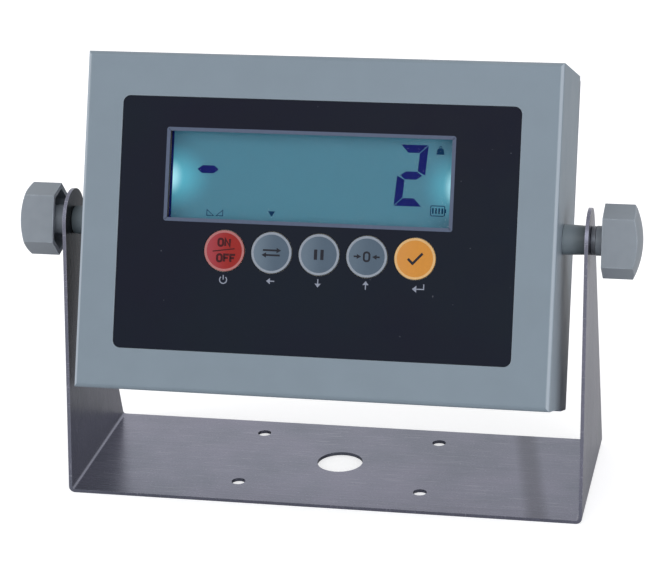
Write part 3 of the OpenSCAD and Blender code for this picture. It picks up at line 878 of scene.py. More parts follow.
@dataclass(frozen=True)
class LitGlass(Finish):
    """Face of the lit display: teal, darker in the corners, with painted shade of the bezel along its top
    and bottom edges, and a bright glow from each side light.
    """

    gloss: float = 0.2
    middle: Tint = tint(60, 110, 129)
    corner: Tint = tint(40, 84, 104)
    centre: Spot = (-3.5, 19.0)
    half: Spot = (59.25, 18.0)
    cloud_scale: float = 30.0
    cloud_share: float = 0.3
    corner_across: Spot = (0.72, 1.04)
    corner_up: Spot = (0.5, 1.05)
    bezel_shade_up: Spot = (0.72, 1.06)
    bezel_shade_share: float = 0.45
    halo: Tint = tint(86, 188, 211)
    halo_size: Spot = (19.0, 15.0)
    halo_share: float = 0.7
    lamp: Tint = tint(184, 244, 255)
    lamp_size: Spot = (5.6, 8.6)
    lamp_share: float = 0.9
    right_power: float = 0.72
    light: float = 0.62

    def glowing(self, r: Recipe, across: Socket, up: Socket, tone: Socket) -> Socket:
        """Lays the glow of both side lights over a tone.

        Args:
            r: The recipe.
            across: Place to the right of the display's middle.
            up: Place above it.
            tone: The tone without the glow.

        Returns:
            The socket of the glowing tone.
        """
        ends = [r.calc("ADD", across, side * self.half[0] * MM) for side in (1, -1)]
        for colour, size, share in ((self.halo, self.halo_size, self.halo_share),
                                    (self.lamp, self.lamp_size, self.lamp_share)):
            for near, power in zip(ends, (1.0, self.right_power)):
                far = r.calc("DIVIDE", near, size[0] * power * MM)
                high = r.calc("DIVIDE", up, size[1] * MM)
                square = r.calc("ADD", r.calc("MULTIPLY", far, far), r.calc("MULTIPLY", high, high))
                glow = r.spread(r.calc("SQRT", square), 0.0, 1.0, share * power, 0.0)
                tone = r.blend(glow, tone, colour)
        return tone

    def build(self, r: Recipe) -> bpy.types.Material:
        """Builds the lit face.

        Args:
            r: The recipe.

        Returns:
            The material.
        """
        place = r.parts(r.place)
        across = r.calc("SUBTRACT", place[0], self.centre[0] * MM)
        up = r.calc("SUBTRACT", place[2], self.centre[1] * MM)
        cloud = r.calc("SUBTRACT", r.noise(r.place, self.cloud_scale), 1 / 2)
        edge_x = r.calc("DIVIDE", r.calc("ABSOLUTE", across), self.half[0] * MM)
        edge_z = r.calc("DIVIDE", r.calc("ABSOLUTE", up), self.half[1] * MM)
        cornered = r.calc("MULTIPLY", r.spread(edge_x, *self.corner_across),
                          r.spread(edge_z, *self.corner_up))
        # painted shade of the bezel along the top and bottom edges
        rim = r.calc("MULTIPLY", r.spread(edge_z, *self.bezel_shade_up), self.bezel_shade_share)
        rim = r.calc("ADD", r.calc("MAXIMUM", cornered, rim), r.calc("MULTIPLY", cloud, self.cloud_share),
                     clamp=True)
        tone = self.glowing(r, across, up, r.blend(rim, self.middle, self.corner))
        r.tree.links.new(tone, r.shader.inputs["Emission Color"])
        return r.finish(r.scaled(tone, 1 - self.light), self.rough, None, Emission_Strength=self.light,
                        Specular_IOR_Level=self.gloss)


@dataclass(frozen=True)
class CircuitLaminate(Finish):
    """Green circuit board with faint copper tracks and solder spots."""

    drift: float = 0.12
    track: Tint = tint(58, 120, 70)
    track_scale: float = 220.0
    track_width: float = 0.01
    solder: Tint = tint(176, 178, 176)
    spot_scale: float = 240.0
    spot_edge: Spot = (0.16, 0.12)
    spot_share: float = 0.7
    spot_height: float = 0.03

    def build(self, r: Recipe) -> bpy.types.Material:
        """Builds the board.

        Args:
            r: The recipe.

        Returns:
            The material.
        """
        tracks = {"Vector": r.place, "Scale": self.track_scale, "Mortar Size": self.track_width,
                  "Color1": self.colour, "Color2": self.colour, "Mortar": self.track}
        grid = r.add("ShaderNodeTexBrick", tracks).outputs["Color"]
        cells = r.add("ShaderNodeTexVoronoi", {"Vector": r.place, "Scale": self.spot_scale})
        spots = r.spread(cells.outputs["Distance"], *self.spot_edge)
        tone = r.blend(r.calc("MULTIPLY", spots, self.spot_share), grid, self.solder)
        body = r.mottled(tone, self.clouds, self.drift)
        return r.finish(body["Colour"], self.uneven(r, body["Mask"]), r.relief(spots, self.spot_height))


@dataclass(frozen=True)
class TrackFilm(Finish):
    """Flexible film with printed conductors that run one way."""

    clouds: float = 80.0
    conductor: Tint = tint(150, 150, 150)
    pitch: float = 1.0
    covered: float = 0.55

    def build(self, r: Recipe) -> bpy.types.Material:
        """Builds the film.

        Args:
            r: The recipe.

        Returns:
            The material.
        """
        phase = r.calc("FRACT", r.calc("DIVIDE", r.parts(r.place)[0], self.pitch * MM))
        tone = r.blend(r.calc("LESS_THAN", phase, self.covered), self.colour, self.conductor)
        body = r.mottled(tone, self.clouds, self.drift)
        return r.finish(body["Colour"], self.uneven(r, body["Mask"]))


@dataclass(frozen=True)
class LightPlastic(Finish):
    """Milky plastic that carries or gives the display's light."""

    clouds: float = 50.0
    drift: float = 0.06
    warmth: Tint = tint(222, 240, 246)
    warm_share: float = 0.3
    light: float = 0.3

    def build(self, r: Recipe) -> bpy.types.Material:
        """Builds the milky plastic.

        Args:
            r: The recipe.

        Returns:
            The material.
        """
        body = self.body(r)
        tone = r.blend(r.calc("MULTIPLY", body["Mask"], self.warm_share), body["Colour"], self.warmth)
        r.tree.links.new(tone, r.shader.inputs["Emission Color"])
        return r.finish(tone, self.uneven(r, body["Mask"]), None, Emission_Strength=self.light)


@dataclass(frozen=True)
class FloorPaper(Finish):
    """Pale paper of the floor, lifted a little where the camera sees it."""

    rough: float = 0.9
    clouds: float = 3.0
    drift: float = 0.01
    gloss: float = 0.0
    lift: float = 0.58

    def build(self, r: Recipe) -> bpy.types.Material:
        """Builds the paper.

        Args:
            r: The recipe.

        Returns:
            The material.
        """
        r.finish(self.body(r)["Colour"], self.rough, None, Specular_IOR_Level=self.gloss)
        seen = r.add("ShaderNodeLightPath").outputs["Is Camera Ray"]
        lift = r.add("ShaderNodeEmission", {"Strength": r.calc("MULTIPLY", seen, self.lift)})
        return r.shown(r.add("ShaderNodeAddShader", {0: r.shader.outputs[0], 1: lift.outputs[0]}))


class Finishes:
    """Every finish of the indicator, and the floor's."""

    SHEET = BrushedSheet("bracket_steel", tint(117, 121, 135), 0.27)
    SHELL = SatinPaint("shell_enamel", tint(122, 136, 148), 0.42)
    COVER = SatinPaint("cover_enamel", tint(112, 122, 136), 0.45)
    BOSS = SatinPaint("boss_enamel", tint(126, 138, 146), 0.4, dusting=0.05, ear_shade_share=0.6)
    FILM = PanelFilm("panel_film", tint(8, 13, 30), 0.4)
    BORDER = PrintInk("border_ink", tint(82, 92, 114))
    MARK = PrintInk("mark_ink", tint(134, 140, 156))
    LEGEND = PrintInk("legend_ink", tint(26, 28, 38))
    RED_LEGEND = PrintInk("red_legend_ink", tint(58, 8, 16))
    SEGMENT = PrintInk("segment_navy", tint(18, 24, 80), gloss=0.02)
    SIGN = PrintInk("sign_navy", tint(12, 40, 70), gloss=0.02)
    WINDOW = ClearPlate("window_clear", (1.0, 1.0, 1.0), 0.004)
    LIT = LitGlass("display_face", tint(62, 111, 130), 0.3)
    GLASS = MouldedPlastic("display_glass", tint(70, 104, 116), 0.2)
    SEAL = SoftRubber("seal_foam", tint(22, 22, 26), 0.85)
    GASKET = SoftRubber("gasket_rubber_black", tint(34, 34, 36), 0.8)
    # the knobs' pale facet edges are a painted highlight
    KNOB = MouldedPlastic("knob_grey", tint(128, 136, 145), 0.4, polish_and_highlight=1.0, edge_gain=5.0,
                          edge_lift=1.9)
    BLACK = MouldedPlastic("inner_black", tint(32, 32, 34))
    GLAND = MouldedPlastic("gland_grey", tint(52, 54, 58), 0.45)
    IVORY = MouldedPlastic("connector_ivory", tint(218, 212, 194), 0.45)
    GREEN = MouldedPlastic("terminal_green", tint(54, 120, 82), 0.45)
    SLEEVE = MouldedPlastic("capacitor_navy", tint(34, 40, 70), 0.35)
    CASE = MouldedPlastic("battery_grey", tint(62, 64, 70))
    ZINC = TurnedMetal("zinc_plate", tint(168, 170, 174), 0.35)
    WASHER = TurnedMetal("washer_dark", tint(96, 100, 108), 0.4)
    SCREW = TurnedMetal("screw_nickel", tint(186, 186, 190), 0.3)
    BOARD = CircuitLaminate("board_green", tint(26, 84, 52), 0.35)
    TRACKS = TrackFilm("circuit_layer", tint(196, 190, 168))
    TAIL = TrackFilm("tail_strip", tint(186, 150, 90), 0.4)
    GUIDE = LightPlastic("guide_milky", tint(216, 234, 240), 0.4)
    LED = LightPlastic("led_milky", tint(240, 250, 255), 0.4, light=0.8)
    PAPER = FloorPaper("floor_paper", (0.74, 0.74, 0.75))


class Outline:
    """Flat drawings in millimetres that become thin plates."""

    @staticmethod
    def arc(centre: Spot, size: Spot, start: float, end: float, steps: int = 24) -> list[Spot]:
        """Points on an arc.

        Args:
            centre: Middle of the arc.
            size: Radius across and up.
            start: First angle, in degrees from the right, anticlockwise.
            end: Last angle.
            steps: Number of chords.

        Returns:
            The points.
        """
        angles = (math.radians(start + (end - start) * n / steps) for n in range(steps + 1))
        return [(centre[0] + size[0] * math.cos(a), centre[1] + size[1] * math.sin(a)) for a in angles]

    @staticmethod
    def rounded(width: float, height: float, radius: float, centre: Spot = (0.0, 0.0)) -> list[Spot]:
        """Outline of a rectangle with round corners.

        Args:
            width: Width.
            height: Height.
            radius: Corner radius.
            centre: Its middle.

        Returns:
            The points, anticlockwise.
        """
        quarter, steps = 90, 6
        points: list[Spot] = []
        for n, (sx, sz) in enumerate(((1, 1), (-1, 1), (-1, -1), (1, -1))):
            middle = (centre[0] + sx * (width / 2 - radius), centre[1] + sz * (height / 2 - radius))
            points += Outline.arc(middle, (radius, radius), n * quarter, (n + 1) * quarter, steps)
        return points

    @staticmethod
    def moved(points: Iterable[Spot], by: Spot = (0.0, 0.0), scale: float = 1.0,
              slant: float = 0.0) -> list[Spot]:
        """Returns the points scaled, slanted by that share of their height and moved."""
        return [(by[0] + scale * (x + slant * z), by[1] + scale * z) for x, z in points]


class Solid:
    """Collects the faces of one mesh, in metres, in the frame of its object."""

    def __init__(self) -> None:
        """Starts empty."""
        self.bm = bmesh.new()

    def plate(self, points: Sequence[Spot], depth: float, thickness: float, finish: int = 0) -> None:
        """Adds a flat plate in the plane of the face.

        Args:
            points: Its outline, in millimetres.
            depth: Depth of its outer side behind the face; negative stands proud.
            thickness: How far it goes in.
            finish: Number of the material slot.
        """
        count = len(points)
        outer, inner = (
            [self.bm.verts.new(Vector((x, y, z)) * MM) for x, z in points]
            for y in (depth, depth + thickness)
        )
        faces = [self.bm.faces.new(outer), self.bm.faces.new(inner[::-1])]
        for n in range(count):
            m = (n + 1) % count
            faces.append(self.bm.faces.new((outer[n], inner[n], inner[m], outer[m])))
        for face in faces:
            face.material_index = finish

    def ribbon(self, points: Sequence[Spot], width: float, depth: float, thickness: float,
               closed: bool = False, finish: int = 0) -> None:
        """Adds a stroke of one width along a line.

        Args:
            points: The line, in millimetres.
            width: Width of the stroke.
            depth: Depth of its outer side behind the face.
            thickness: How far it goes in.
            closed: True joins the last point to the first.
            finish: Number of the material slot.
        """
        count = len(points)
        rows = []
        for n, (x, z) in enumerate(points):
            before = points[n - 1] if n or closed else None
            after = points[(n + 1) % count] if n < count - 1 or closed else None
            ways = [
                Vector((q[0] - p[0], q[1] - p[1])).normalized()
                for p, q in ((before, (x, z)), ((x, z), after)) if p and q
            ]
            way = sum(ways, Vector((0.0, 0.0))).normalized()
            miter = width / 2 / max(way.dot(ways[0]), 1 / 2)
            side = Vector((-way.y, way.x)) * miter
            rows.append([
                self.bm.verts.new(Vector((x + s * side.x, y, z + s * side.y)) * MM)
                for y in (depth, depth + thickness) for s in (1, -1)
            ])
        pairs = [(rows[n], rows[(n + 1) % count]) for n in range(count if closed else count - 1)]
        faces = []
        for a, b in pairs:
            for i, j in ((0, 1), (1, 3), (3, 2), (2, 0)):
                faces.append(self.bm.faces.new((a[i], a[j], b[j], b[i])))
        if not closed:
            faces.append(self.bm.faces.new([rows[0][k] for k in (0, 2, 3, 1)]))
            faces.append(self.bm.faces.new([rows[-1][k] for k in (0, 1, 3, 2)]))
        for face in faces:
            face.material_index = finish

    def ring(self, radii: Sequence[float], y: float) -> list[bmesh.types.BMVert]:
        """Adds a ring of corners round the Y axis.

        Args:
            radii: Distance of each corner from the axis, in turn.
            y: Depth of the ring.

        Returns:
            The corners.
        """
        turns = (FULL_TURN * n / len(radii) for n in range(len(radii)))
        return [
            self.bm.verts.new(Vector((radius * math.cos(a), y, radius * math.sin(a))) * MM)
            for radius, a in zip(radii, turns)
        ]

    def skin(self, rings: Sequence[Sequence[Any]], steps: int, finishes: Sequence[int] = ()) -> None:
        """Adds the faces between rings that follow each other.

        Args:
            rings: The rings' corners. A ring of one corner closes an end.
            steps: Facets round the form.
            finishes: Material slot of each band, or nothing for the first slot.
        """
        for band, (a, b) in enumerate(zip(rings, rings[1:])):
            for n in range(steps):
                m = (n + 1) % steps
                corners = [a[0]] if len(a) == 1 else [a[n], a[m]]
                corners += [b[0]] if len(b) == 1 else [b[m], b[n]]
                face = self.bm.faces.new(corners)
                face.material_index = finishes[band] if finishes else 0

    def turned(self, profile: Sequence[Spot], steps: int = 64, finishes: Sequence[int] = ()) -> None:
        """Adds a turned form round the Y axis.

        Args:
            profile: Radius and depth of each ring, from one end to the other. A radius of zero
                closes an end.
            steps: Facets round the form.
            finishes: Material slot of each band, or nothing for the first slot.
        """
        rings = [self.ring([radius] * (steps if radius else 1), y) for radius, y in profile]
        self.skin(rings, steps, finishes)

    def thread(self, diameters: Spot, pitch: float, ends: Sequence[float], steps: int = 28,
               cuts: int = 6) -> None:
        """Adds a threaded rod along the Y axis.

        Args:
            diameters: Diameter over the crests and at the roots.
            pitch: Distance from crest to crest.
            ends: Places of its two ends.
            steps: Facets round the rod.
            cuts: Rings in one pitch.
        """
        crest, root = diameters
        start, end = ends
        count = round((end - start) / pitch * cuts)
        rings = []
        for k in range(count + 1):
            y = start + (end - start) * k / count
            lifts = [1 - abs(2 * ((y / pitch - n / steps) % 1) - 1) for n in range(steps)]
            rings.append(self.ring([(root + (crest - root) * lift) / 2 for lift in lifts], y))
        self.skin(rings, steps)
        self.bm.faces.new(rings[0][::-1])
        self.bm.faces.new(rings[-1])

    def join(self, other: "Solid", matrix: Matrix) -> None:
        """Adds a copy of another solid, moved by the matrix.

        Args:
            other: The solid that is copied.
            matrix: Where the copy goes.
        """
        mesh = bpy.data.meshes.new("copy")
        other.bm.to_mesh(mesh)
        mesh.transform(matrix)
        self.bm.from_mesh(mesh)
        bpy.data.meshes.remove(mesh)


@dataclass
class Pen:
    """Draws strokes and filled shapes of one depth and finish into a solid."""

    solid: Solid
    depth: float
    thickness: float
    width: float
    finish: int = 0

    def line(self, points: Sequence[Spot], width: float = 0.0, closed: bool = False) -> None:
        """Draws a stroke, of the pen's own width unless another is given."""
        self.solid.ribbon(points, width or self.width, self.depth, self.thickness, closed, self.finish)

    def fill(self, points: Sequence[Spot]) -> None:
        """Draws a filled shape."""
        self.solid.plate(points, self.depth, self.thickness, self.finish)


@dataclass
class Bench:
    """Makes the pieces and puts them on their bodies."""

    pivot: Point = (0.0, -11.0, 114.5)
    pivot_depth: float = 24.5
    lean: float = 22.0
    smooth_under: float = 32.0
    round_over: float = 28.0
    flat_under: float = 0.6
    weld: float = 0.001

    def __post_init__(self) -> None:
        """Works out the housing's frame and the tilt axis."""
        turn = Matrix.Rotation(-math.radians(self.lean), 4, "X")
        self.axis = Matrix.Translation(Vector(self.pivot) * MM) @ turn
        self.housing = self.axis @ Matrix.Translation((0.0, -self.pivot_depth * MM, 0.0))

    def on_axis(self, side: int) -> Matrix:
        """Returns the frame of one side of the tilt axis, with its Y running out through the ear."""
        return self.axis @ Matrix.Rotation(-side * FULL_TURN / 4, 4, "Z")

    def piece(self, name: str, solid: Solid, body: str, finishes: Sequence[Finish],
              at: Matrix | None = None, replaces: Sequence[str] = ()) -> None:
        """Turns a solid into a piece that rides on a body, shaded smooth between its sharp edges.

        Args:
            name: Name of the piece.
            solid: Its faces.
            body: The body that it rides on.
            finishes: Its finishes, in the order of its material slots.
            at: Its frame, or None for the model's own.
            replaces: Nodes that it stands for.
        """
        bmesh.ops.recalc_face_normals(solid.bm, faces=solid.bm.faces)
        mesh = bpy.data.meshes.new(name)
        solid.bm.to_mesh(mesh)
        solid.bm.free()
        for finish in finishes:
            mesh.materials.append(finish.make())
        obj = placed_object(name, mesh)
        mesh.shade_smooth()
        mesh.set_sharp_from_angle(angle=math.radians(self.smooth_under))
        even = obj.modifiers.new("even_shading", "WEIGHTED_NORMAL")
        even.keep_sharp = True
        if at is not None:
            obj.matrix_world = at
        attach(obj, body)
        if replaces:
            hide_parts(*replaces)
        log.info("piece %s on %s", name, body)

    def rounded(self, name: str, node: str, body: str, slot: str, finish: Finish, edge: float,
                steps: int = 2, over: float | None = None) -> None:
        """Makes a piece that stands for a node, with its sharp edges rounded.

        Args:
            name: Name of the piece.
            node: The node's name.
            body: The body that it rides on.
            slot: The record's material slot; not used.
            finish: Its finish.
            edge: Width of the rounding.
            steps: Facets across each rounding.
            over: Edges whose faces meet at more degrees than this are rounded, or None for the
                usual angle.
        """
        solid = Solid()
        solid.bm.from_mesh(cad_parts[node].data)
        bmesh.ops.remove_doubles(solid.bm, verts=solid.bm.verts, dist=self.weld * MM)
        bmesh.ops.dissolve_limit(solid.bm, angle_limit=math.radians(self.flat_under),
                                 verts=solid.bm.verts, edges=solid.bm.edges)
        limit = math.radians(self.round_over if over is None else over)
        sharp = [e for e in solid.bm.edges if len(e.link_faces) == 2 and e.calc_face_angle(0.0) > limit]
        bmesh.ops.bevel(solid.bm, geom=sharp, offset=edge * MM, segments=steps, profile=0.5,
                        affect="EDGES", clamp_overlap=True)
        self.piece(name, solid, body, [finish], replaces=[node])

    def dress(self, finish: Finish, *nodes: str) -> None:
        """Gives a better material to nodes that stay as they are.

        Args:
            finish: Their finish.
            nodes: The nodes' names.
        """
        for node in nodes:
            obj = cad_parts[node]
            if not obj.material_slots:
                obj.data.materials.append(finish.make())
            for slot in obj.material_slots:
                slot.material = finish.make()
            log.info("dressed %s in %s", node, finish.name)


@dataclass
class Bracket:
    """The folded stainless U bracket."""

    edge: float = 0.28

    def build(self, bench: Bench) -> None:
        """Rounds the sheared edges and brushes the sheet."""
        bench.rounded("bracket_sheet", "stand_bracket", "bracket", "stainless_sheet", Finishes.SHEET,
                      self.edge)


@dataclass
class Housing:
    """The painted shell, its rear cover with screws and glands, and the pivot bosses."""

    width: float = 200.0
    height: float = 141.0
    depth: float = 62.0
    screw_inset: float = 7.0
    screw_turns: Spot = (1.0, 2.0)
    head: float = 7.4
    head_rise: float = 2.4
    bezel_shade_share: float = 1 / 3
    fullness: float = 0.6
    dome_rings: int = 6
    head_facets: int = 32
    shank: float = 4.0
    root_share: float = 0.82
    shank_pitch: float = 0.7
    shank_facets: int = 16
    shank_cuts: int = 4
    grip: float = 5.0
    drive: float = 4.2
    drive_width: float = 0.9
    drive_depth: float = 1.3
    drive_taper: float = 0.5
    paint_edge: float = 0.4
    paint_steps: int = 3
    cover_edge: float = 0.25
    small_edge: float = 0.3

    def recess(self) -> Solid:
        """Makes the tool that cuts a screw's cross recess, tapered inwards.

        Returns:
            The tool, centred on the top of the head.
        """
        tool = Solid()
        for long_side, short_side in ((self.drive, self.drive_width), (self.drive_width, self.drive)):
            bar = Solid()
            made = bmesh.ops.create_cube(bar.bm, size=1.0)
            bmesh.ops.scale(bar.bm, vec=Vector((long_side, 2 * self.drive_depth, short_side)) * MM,
                            verts=made["verts"])
            inner = [v for v in bar.bm.verts if v.co.y < 0]
            bmesh.ops.scale(bar.bm, vec=Vector((self.drive_taper, 1.0, self.drive_taper)), verts=inner)
            tool.join(bar, Matrix.Translation((0.0, self.head_rise * MM, 0.0)))
            bar.bm.free()
        return tool

    def screw(self) -> Solid:
        """Makes one pan-head screw with a cross recess.

        Returns:
            The screw, its head standing on depth 0 and facing back.
        """
        half, rim = self.head / 2, self.head_rise * self.bezel_shade_share
        turns = [FULL_TURN / 4 * n / self.dome_rings for n in range(1, self.dome_rings)]
        dome = [
            (half * math.cos(a) ** self.fullness, rim + (self.head_rise - rim) * math.sin(a))
            for a in turns
        ]
        head = Solid()
        head.turned([(0.0, 0.0), (half, 0.0), (half, rim), *dome, (0.0, self.head_rise)], self.head_facets)
        cut = self.carved(head, self.recess())
        cut.thread((self.shank, self.shank * self.root_share), self.shank_pitch, (-self.grip, 0.0),
                   self.shank_facets, self.shank_cuts)
        return cut

    @staticmethod
    def carved(body: Solid, cutter: Solid) -> Solid:
        """Cuts one solid out of another.

        Args:
            body: The solid that stays.
            cutter: The solid that is taken out.

        Returns:
            The cut solid.
        """
        objects = []
        for label, part in (("carved_body", body), ("carving_tool", cutter)):
            bmesh.ops.recalc_face_normals(part.bm, faces=part.bm.faces)
            mesh = bpy.data.meshes.new(label)
            part.bm.to_mesh(mesh)
            part.bm.free()
            objects.append(placed_object(label, mesh))
        cut = objects[0].modifiers.new("cut", "BOOLEAN")
        cut.object, cut.operation, cut.solver, cut.use_self = objects[1], "DIFFERENCE", "EXACT", True
        graph = bpy.context.evaluated_depsgraph_get()
        result = Solid()
        result.bm.from_mesh(objects[0].evaluated_get(graph).to_mesh())
        for obj in objects:
            mesh = obj.data
            bpy.data.objects.remove(obj)
            bpy.data.meshes.remove(mesh)
        return result

    def screw_set(self) -> Solid:
        """Makes the six cover screws, each turned a little differently.

        Returns:
            The screws, in the housing's frame.
        """
        screws, one = Solid(), self.screw()
        across, up = self.width / 2 - self.screw_inset, self.height / 2 - self.screw_inset
        for sx in (-1, 0, 1):
            for sz in (-1, 1):
                spot = Vector((sx * across, self.depth, sz * up)) * MM
                turn = Matrix.Rotation(self.screw_turns[0] * sx + self.screw_turns[1] * sz, 4, "Y")
                screws.join(one, Matrix.Translation(spot) @ turn)
        one.bm.free()
        return screws

    def build(self, bench: Bench) -> None:
        """Builds the housing's visible pieces and dresses the rest.

        Args:
            bench: Makes the pieces.
        """
        body, paint = "indicator", "housing_paint"
        bench.rounded("housing_shell", "front_housing", body, paint, Finishes.SHELL, self.paint_edge,
                      self.paint_steps)
        bench.rounded("cover_plate", "rear_cover", body, paint, Finishes.COVER, self.cover_edge)
        bench.piece("cover_screw_set", self.screw_set(), body, [Finishes.SCREW],
                    at=bench.housing, replaces=["cover_screws"])
        for side in ("left", "right"):
            bench.rounded(f"{side}_boss", f"{side}_pivot_boss", body, "boss_paint", Finishes.BOSS,
                          self.small_edge)
        for name, node in (("gland_bodies", "cable_glands"), ("gland_cap_nuts", "gland_caps")):
            bench.rounded(name, node, body, "gland_plastic", Finishes.GLAND, self.small_edge)
        bench.dress(Finishes.SEAL, "gland_seals")
        bench.dress(Finishes.GLAND, "gland_nuts")
        bench.dress(Finishes.GASKET, "cover_gasket")
        bench.dress(Finishes.ZINC, "boss_nuts")


class Legend(Enum):
    """What each key shows, from left to right."""

    SWITCH = "power"
    UNIT = "unit"
    HOLD = "hold"
    ZERO = "zero"
    SET = "set"


@dataclass
class Keys:
    """The five round keys, with their rims and printed signs."""

    across: float = 17.0
    pitch: float = 20.0
    middle: float = 2.5
    up: float = -11.0
    rim: float = 0.8
    rim_rise: float = 0.2
    back: float = 0.8
    crown: float = 0.12
    ink: float = 0.03
    stroke: float = 0.88
    letter_round: float = 0.45
    film_rough: float = 0.5
    ring_rough: float = 0.45

    def place(self, number: int) -> float:
        """Returns how far right the middle of that key lies, counted from the left."""
        return self.middle + (number - len(Legend) // 2) * self.pitch

    def colours(self) -> dict[Legend, tuple[str, Finish, Finish]]:
        """Mixes the finishes of the keys.

        Returns:
            Each key's material slot, its film and its rim.
        """
        # the glow colours and shares give each key film's painted highlight on its left side
        red, red_highlight, red_ring = tint(138, 27, 23), tint(158, 66, 78), tint(168, 108, 108)
        grey, grey_highlight, grey_ring = tint(74, 90, 106), tint(118, 134, 148), tint(140, 148, 160)
        amber, amber_highlight, amber_ring = tint(196, 132, 52), tint(200, 138, 74), tint(210, 170, 116)
        table = {
            Legend.SWITCH: ("key_red", red, red_highlight, 0.7, red_ring),
            Legend.UNIT: ("key_grey", grey, grey_highlight, 0.5, grey_ring),
            Legend.HOLD: ("key_grey", grey, grey_highlight, 0.4, grey_ring),
            Legend.ZERO: ("key_grey", grey, grey_highlight, 0.25, grey_ring),
            Legend.SET: ("key_amber", amber, amber_highlight, 0.5, amber_ring),
        }
        return {
            sign: (
                slot,
                KeyFilm(f"{sign.value}_film", film, self.film_rough, glow=glow, left_highlight_share=share),
                PrintInk(f"{sign.value}_ring", ring, self.ring_rough),
            )
            for sign, (slot, film, glow, share, ring) in table.items()
        }

    def cap(self) -> Solid:
        """Makes a key: a slightly crowned disc inside a raised, rounded rim.

        Returns:
            The key, with its rim in slot 1.
        """
        outer, inner, bend = self.across / 2, self.across / 2 - self.rim, self.rim / 4
        top = -self.rim_rise
        disc = [(0.0, -self.crown), (inner / 2, -self.crown * 3 / 4), (inner - bend, 0.0)]
        rim = [(inner, top / 2), (inner + bend, top), (outer - bend, top), (outer, top + bend)]
        base = [(outer, self.back), (0.0, self.back)]
        solid = Solid()
        solid.turned([*disc, *rim, *base], finishes=(0, 0, 1, 1, 1, 1, 0, 0))
        return solid

    def ring(self, centre: Spot, size: Spot) -> list[Spot]:
        """Returns the closed line of a narrow letter O or zero."""
        return Outline.rounded(*size, size[0] * self.letter_round, centre)

    def on_off(self, pen: Pen) -> None:
        """Draws ON above OFF, with a slanted line between them.

        Args:
            pen: Draws the strokes.
        """
        wide, high = 1.95, 2.9
        upper, lower = 3.45, -3.0
        first_o, n_left, n_right = -1.6, 0.35, 2.25
        second_o, first_f, second_f = -1.9, 0.1, 2.75
        slash, slash_width = [(-4.9, -0.35), (4.4, 1.0)], 0.45
        bar_rise, bar_share = 0.1, 0.8
        pen.line(self.ring((first_o, upper), (wide, high)), closed=True)
        foot, top = upper - high / 2, upper + high / 2
        pen.line([(n_left, foot), (n_left, top), (n_right, foot), (n_right, top)])
        pen.line(slash, slash_width)
        pen.line(self.ring((second_o, lower), (wide, high)), closed=True)
        foot, top, bar = lower - high / 2, lower + high / 2, lower + bar_rise
        for left in (first_f, second_f):
            pen.line([(left, foot), (left, top), (left + wide, top)])
            pen.line([(left, bar), (left + wide * bar_share, bar)])

    def exchange(self, pen: Pen) -> None:
        """Draws two arrows that point opposite ways.

        Args:
            pen: Draws the strokes.
        """
        shaft, shaft_width = [(-3.6, 1.0), (2.4, 1.0)], 0.75
        head = [(4.1, 1.0), (2.2, 2.1), (2.2, -0.1)]
        for flip in (1, -1):
            pen.line(Outline.moved(shaft, scale=flip), shaft_width)
            pen.fill(Outline.moved(head, scale=flip)[::flip])

    def pause(self, pen: Pen) -> None:
        """Draws two upright bars.

        Args:
            pen: Draws the shapes.
        """
        bar, bend, apart = (1.35, 4.2), 0.15, 1.35
        for side in (-1, 1):
            pen.fill(Outline.rounded(*bar, bend, (side * apart, 0.0)))

    def zero(self, pen: Pen) -> None:
        """Draws a zero between two arrows that point at it.

        Args:
            pen: Draws the strokes.
        """
        size, width = (2.3, 3.6), 0.8
        head = [(2.3, 0.0), (4.1, 1.0), (4.1, -1.0)]
        shaft, shaft_width = [(4.0, 0.0), (5.4, 0.0)], 0.65
        pen.line(self.ring((0.0, 0.0), size), width, closed=True)
        for flip in (1, -1):
            pen.fill([(flip * x, z) for x, z in head][::flip])
            pen.line([(flip * x, z) for x, z in shaft], shaft_width)

    def tick(self, pen: Pen) -> None:
        """Draws a tick."""
        pen.line([(-2.9, -0.1), (-0.9, -2.0), (3.1, 2.3)], 1.0)

    def build(self, bench: Bench) -> None:
        """Builds the five keys on their own bodies.

        Args:
            bench: Makes the pieces.
        """
        signs = {
            Legend.SWITCH: self.on_off, Legend.UNIT: self.exchange, Legend.HOLD: self.pause,
            Legend.ZERO: self.zero, Legend.SET: self.tick,
        }
        films = self.colours()
        for number, legend in enumerate(Legend):
            slot, film, rim = films[legend]
            key = self.cap()
            pen = Pen(key, -self.crown - self.ink, self.ink + self.crown / 2, self.stroke, finish=2)
            signs[legend](pen)
            ink = Finishes.RED_LEGEND if legend is Legend.SWITCH else Finishes.LEGEND
            at = bench.housing @ Matrix.Translation(Vector((self.place(number), 0.0, self.up)) * MM)
            node = f"key_{legend.value}"
            bench.piece(f"{legend.value}_key", key, f"{node}_film", [film, rim, ink], at=at,
                        replaces=[node])


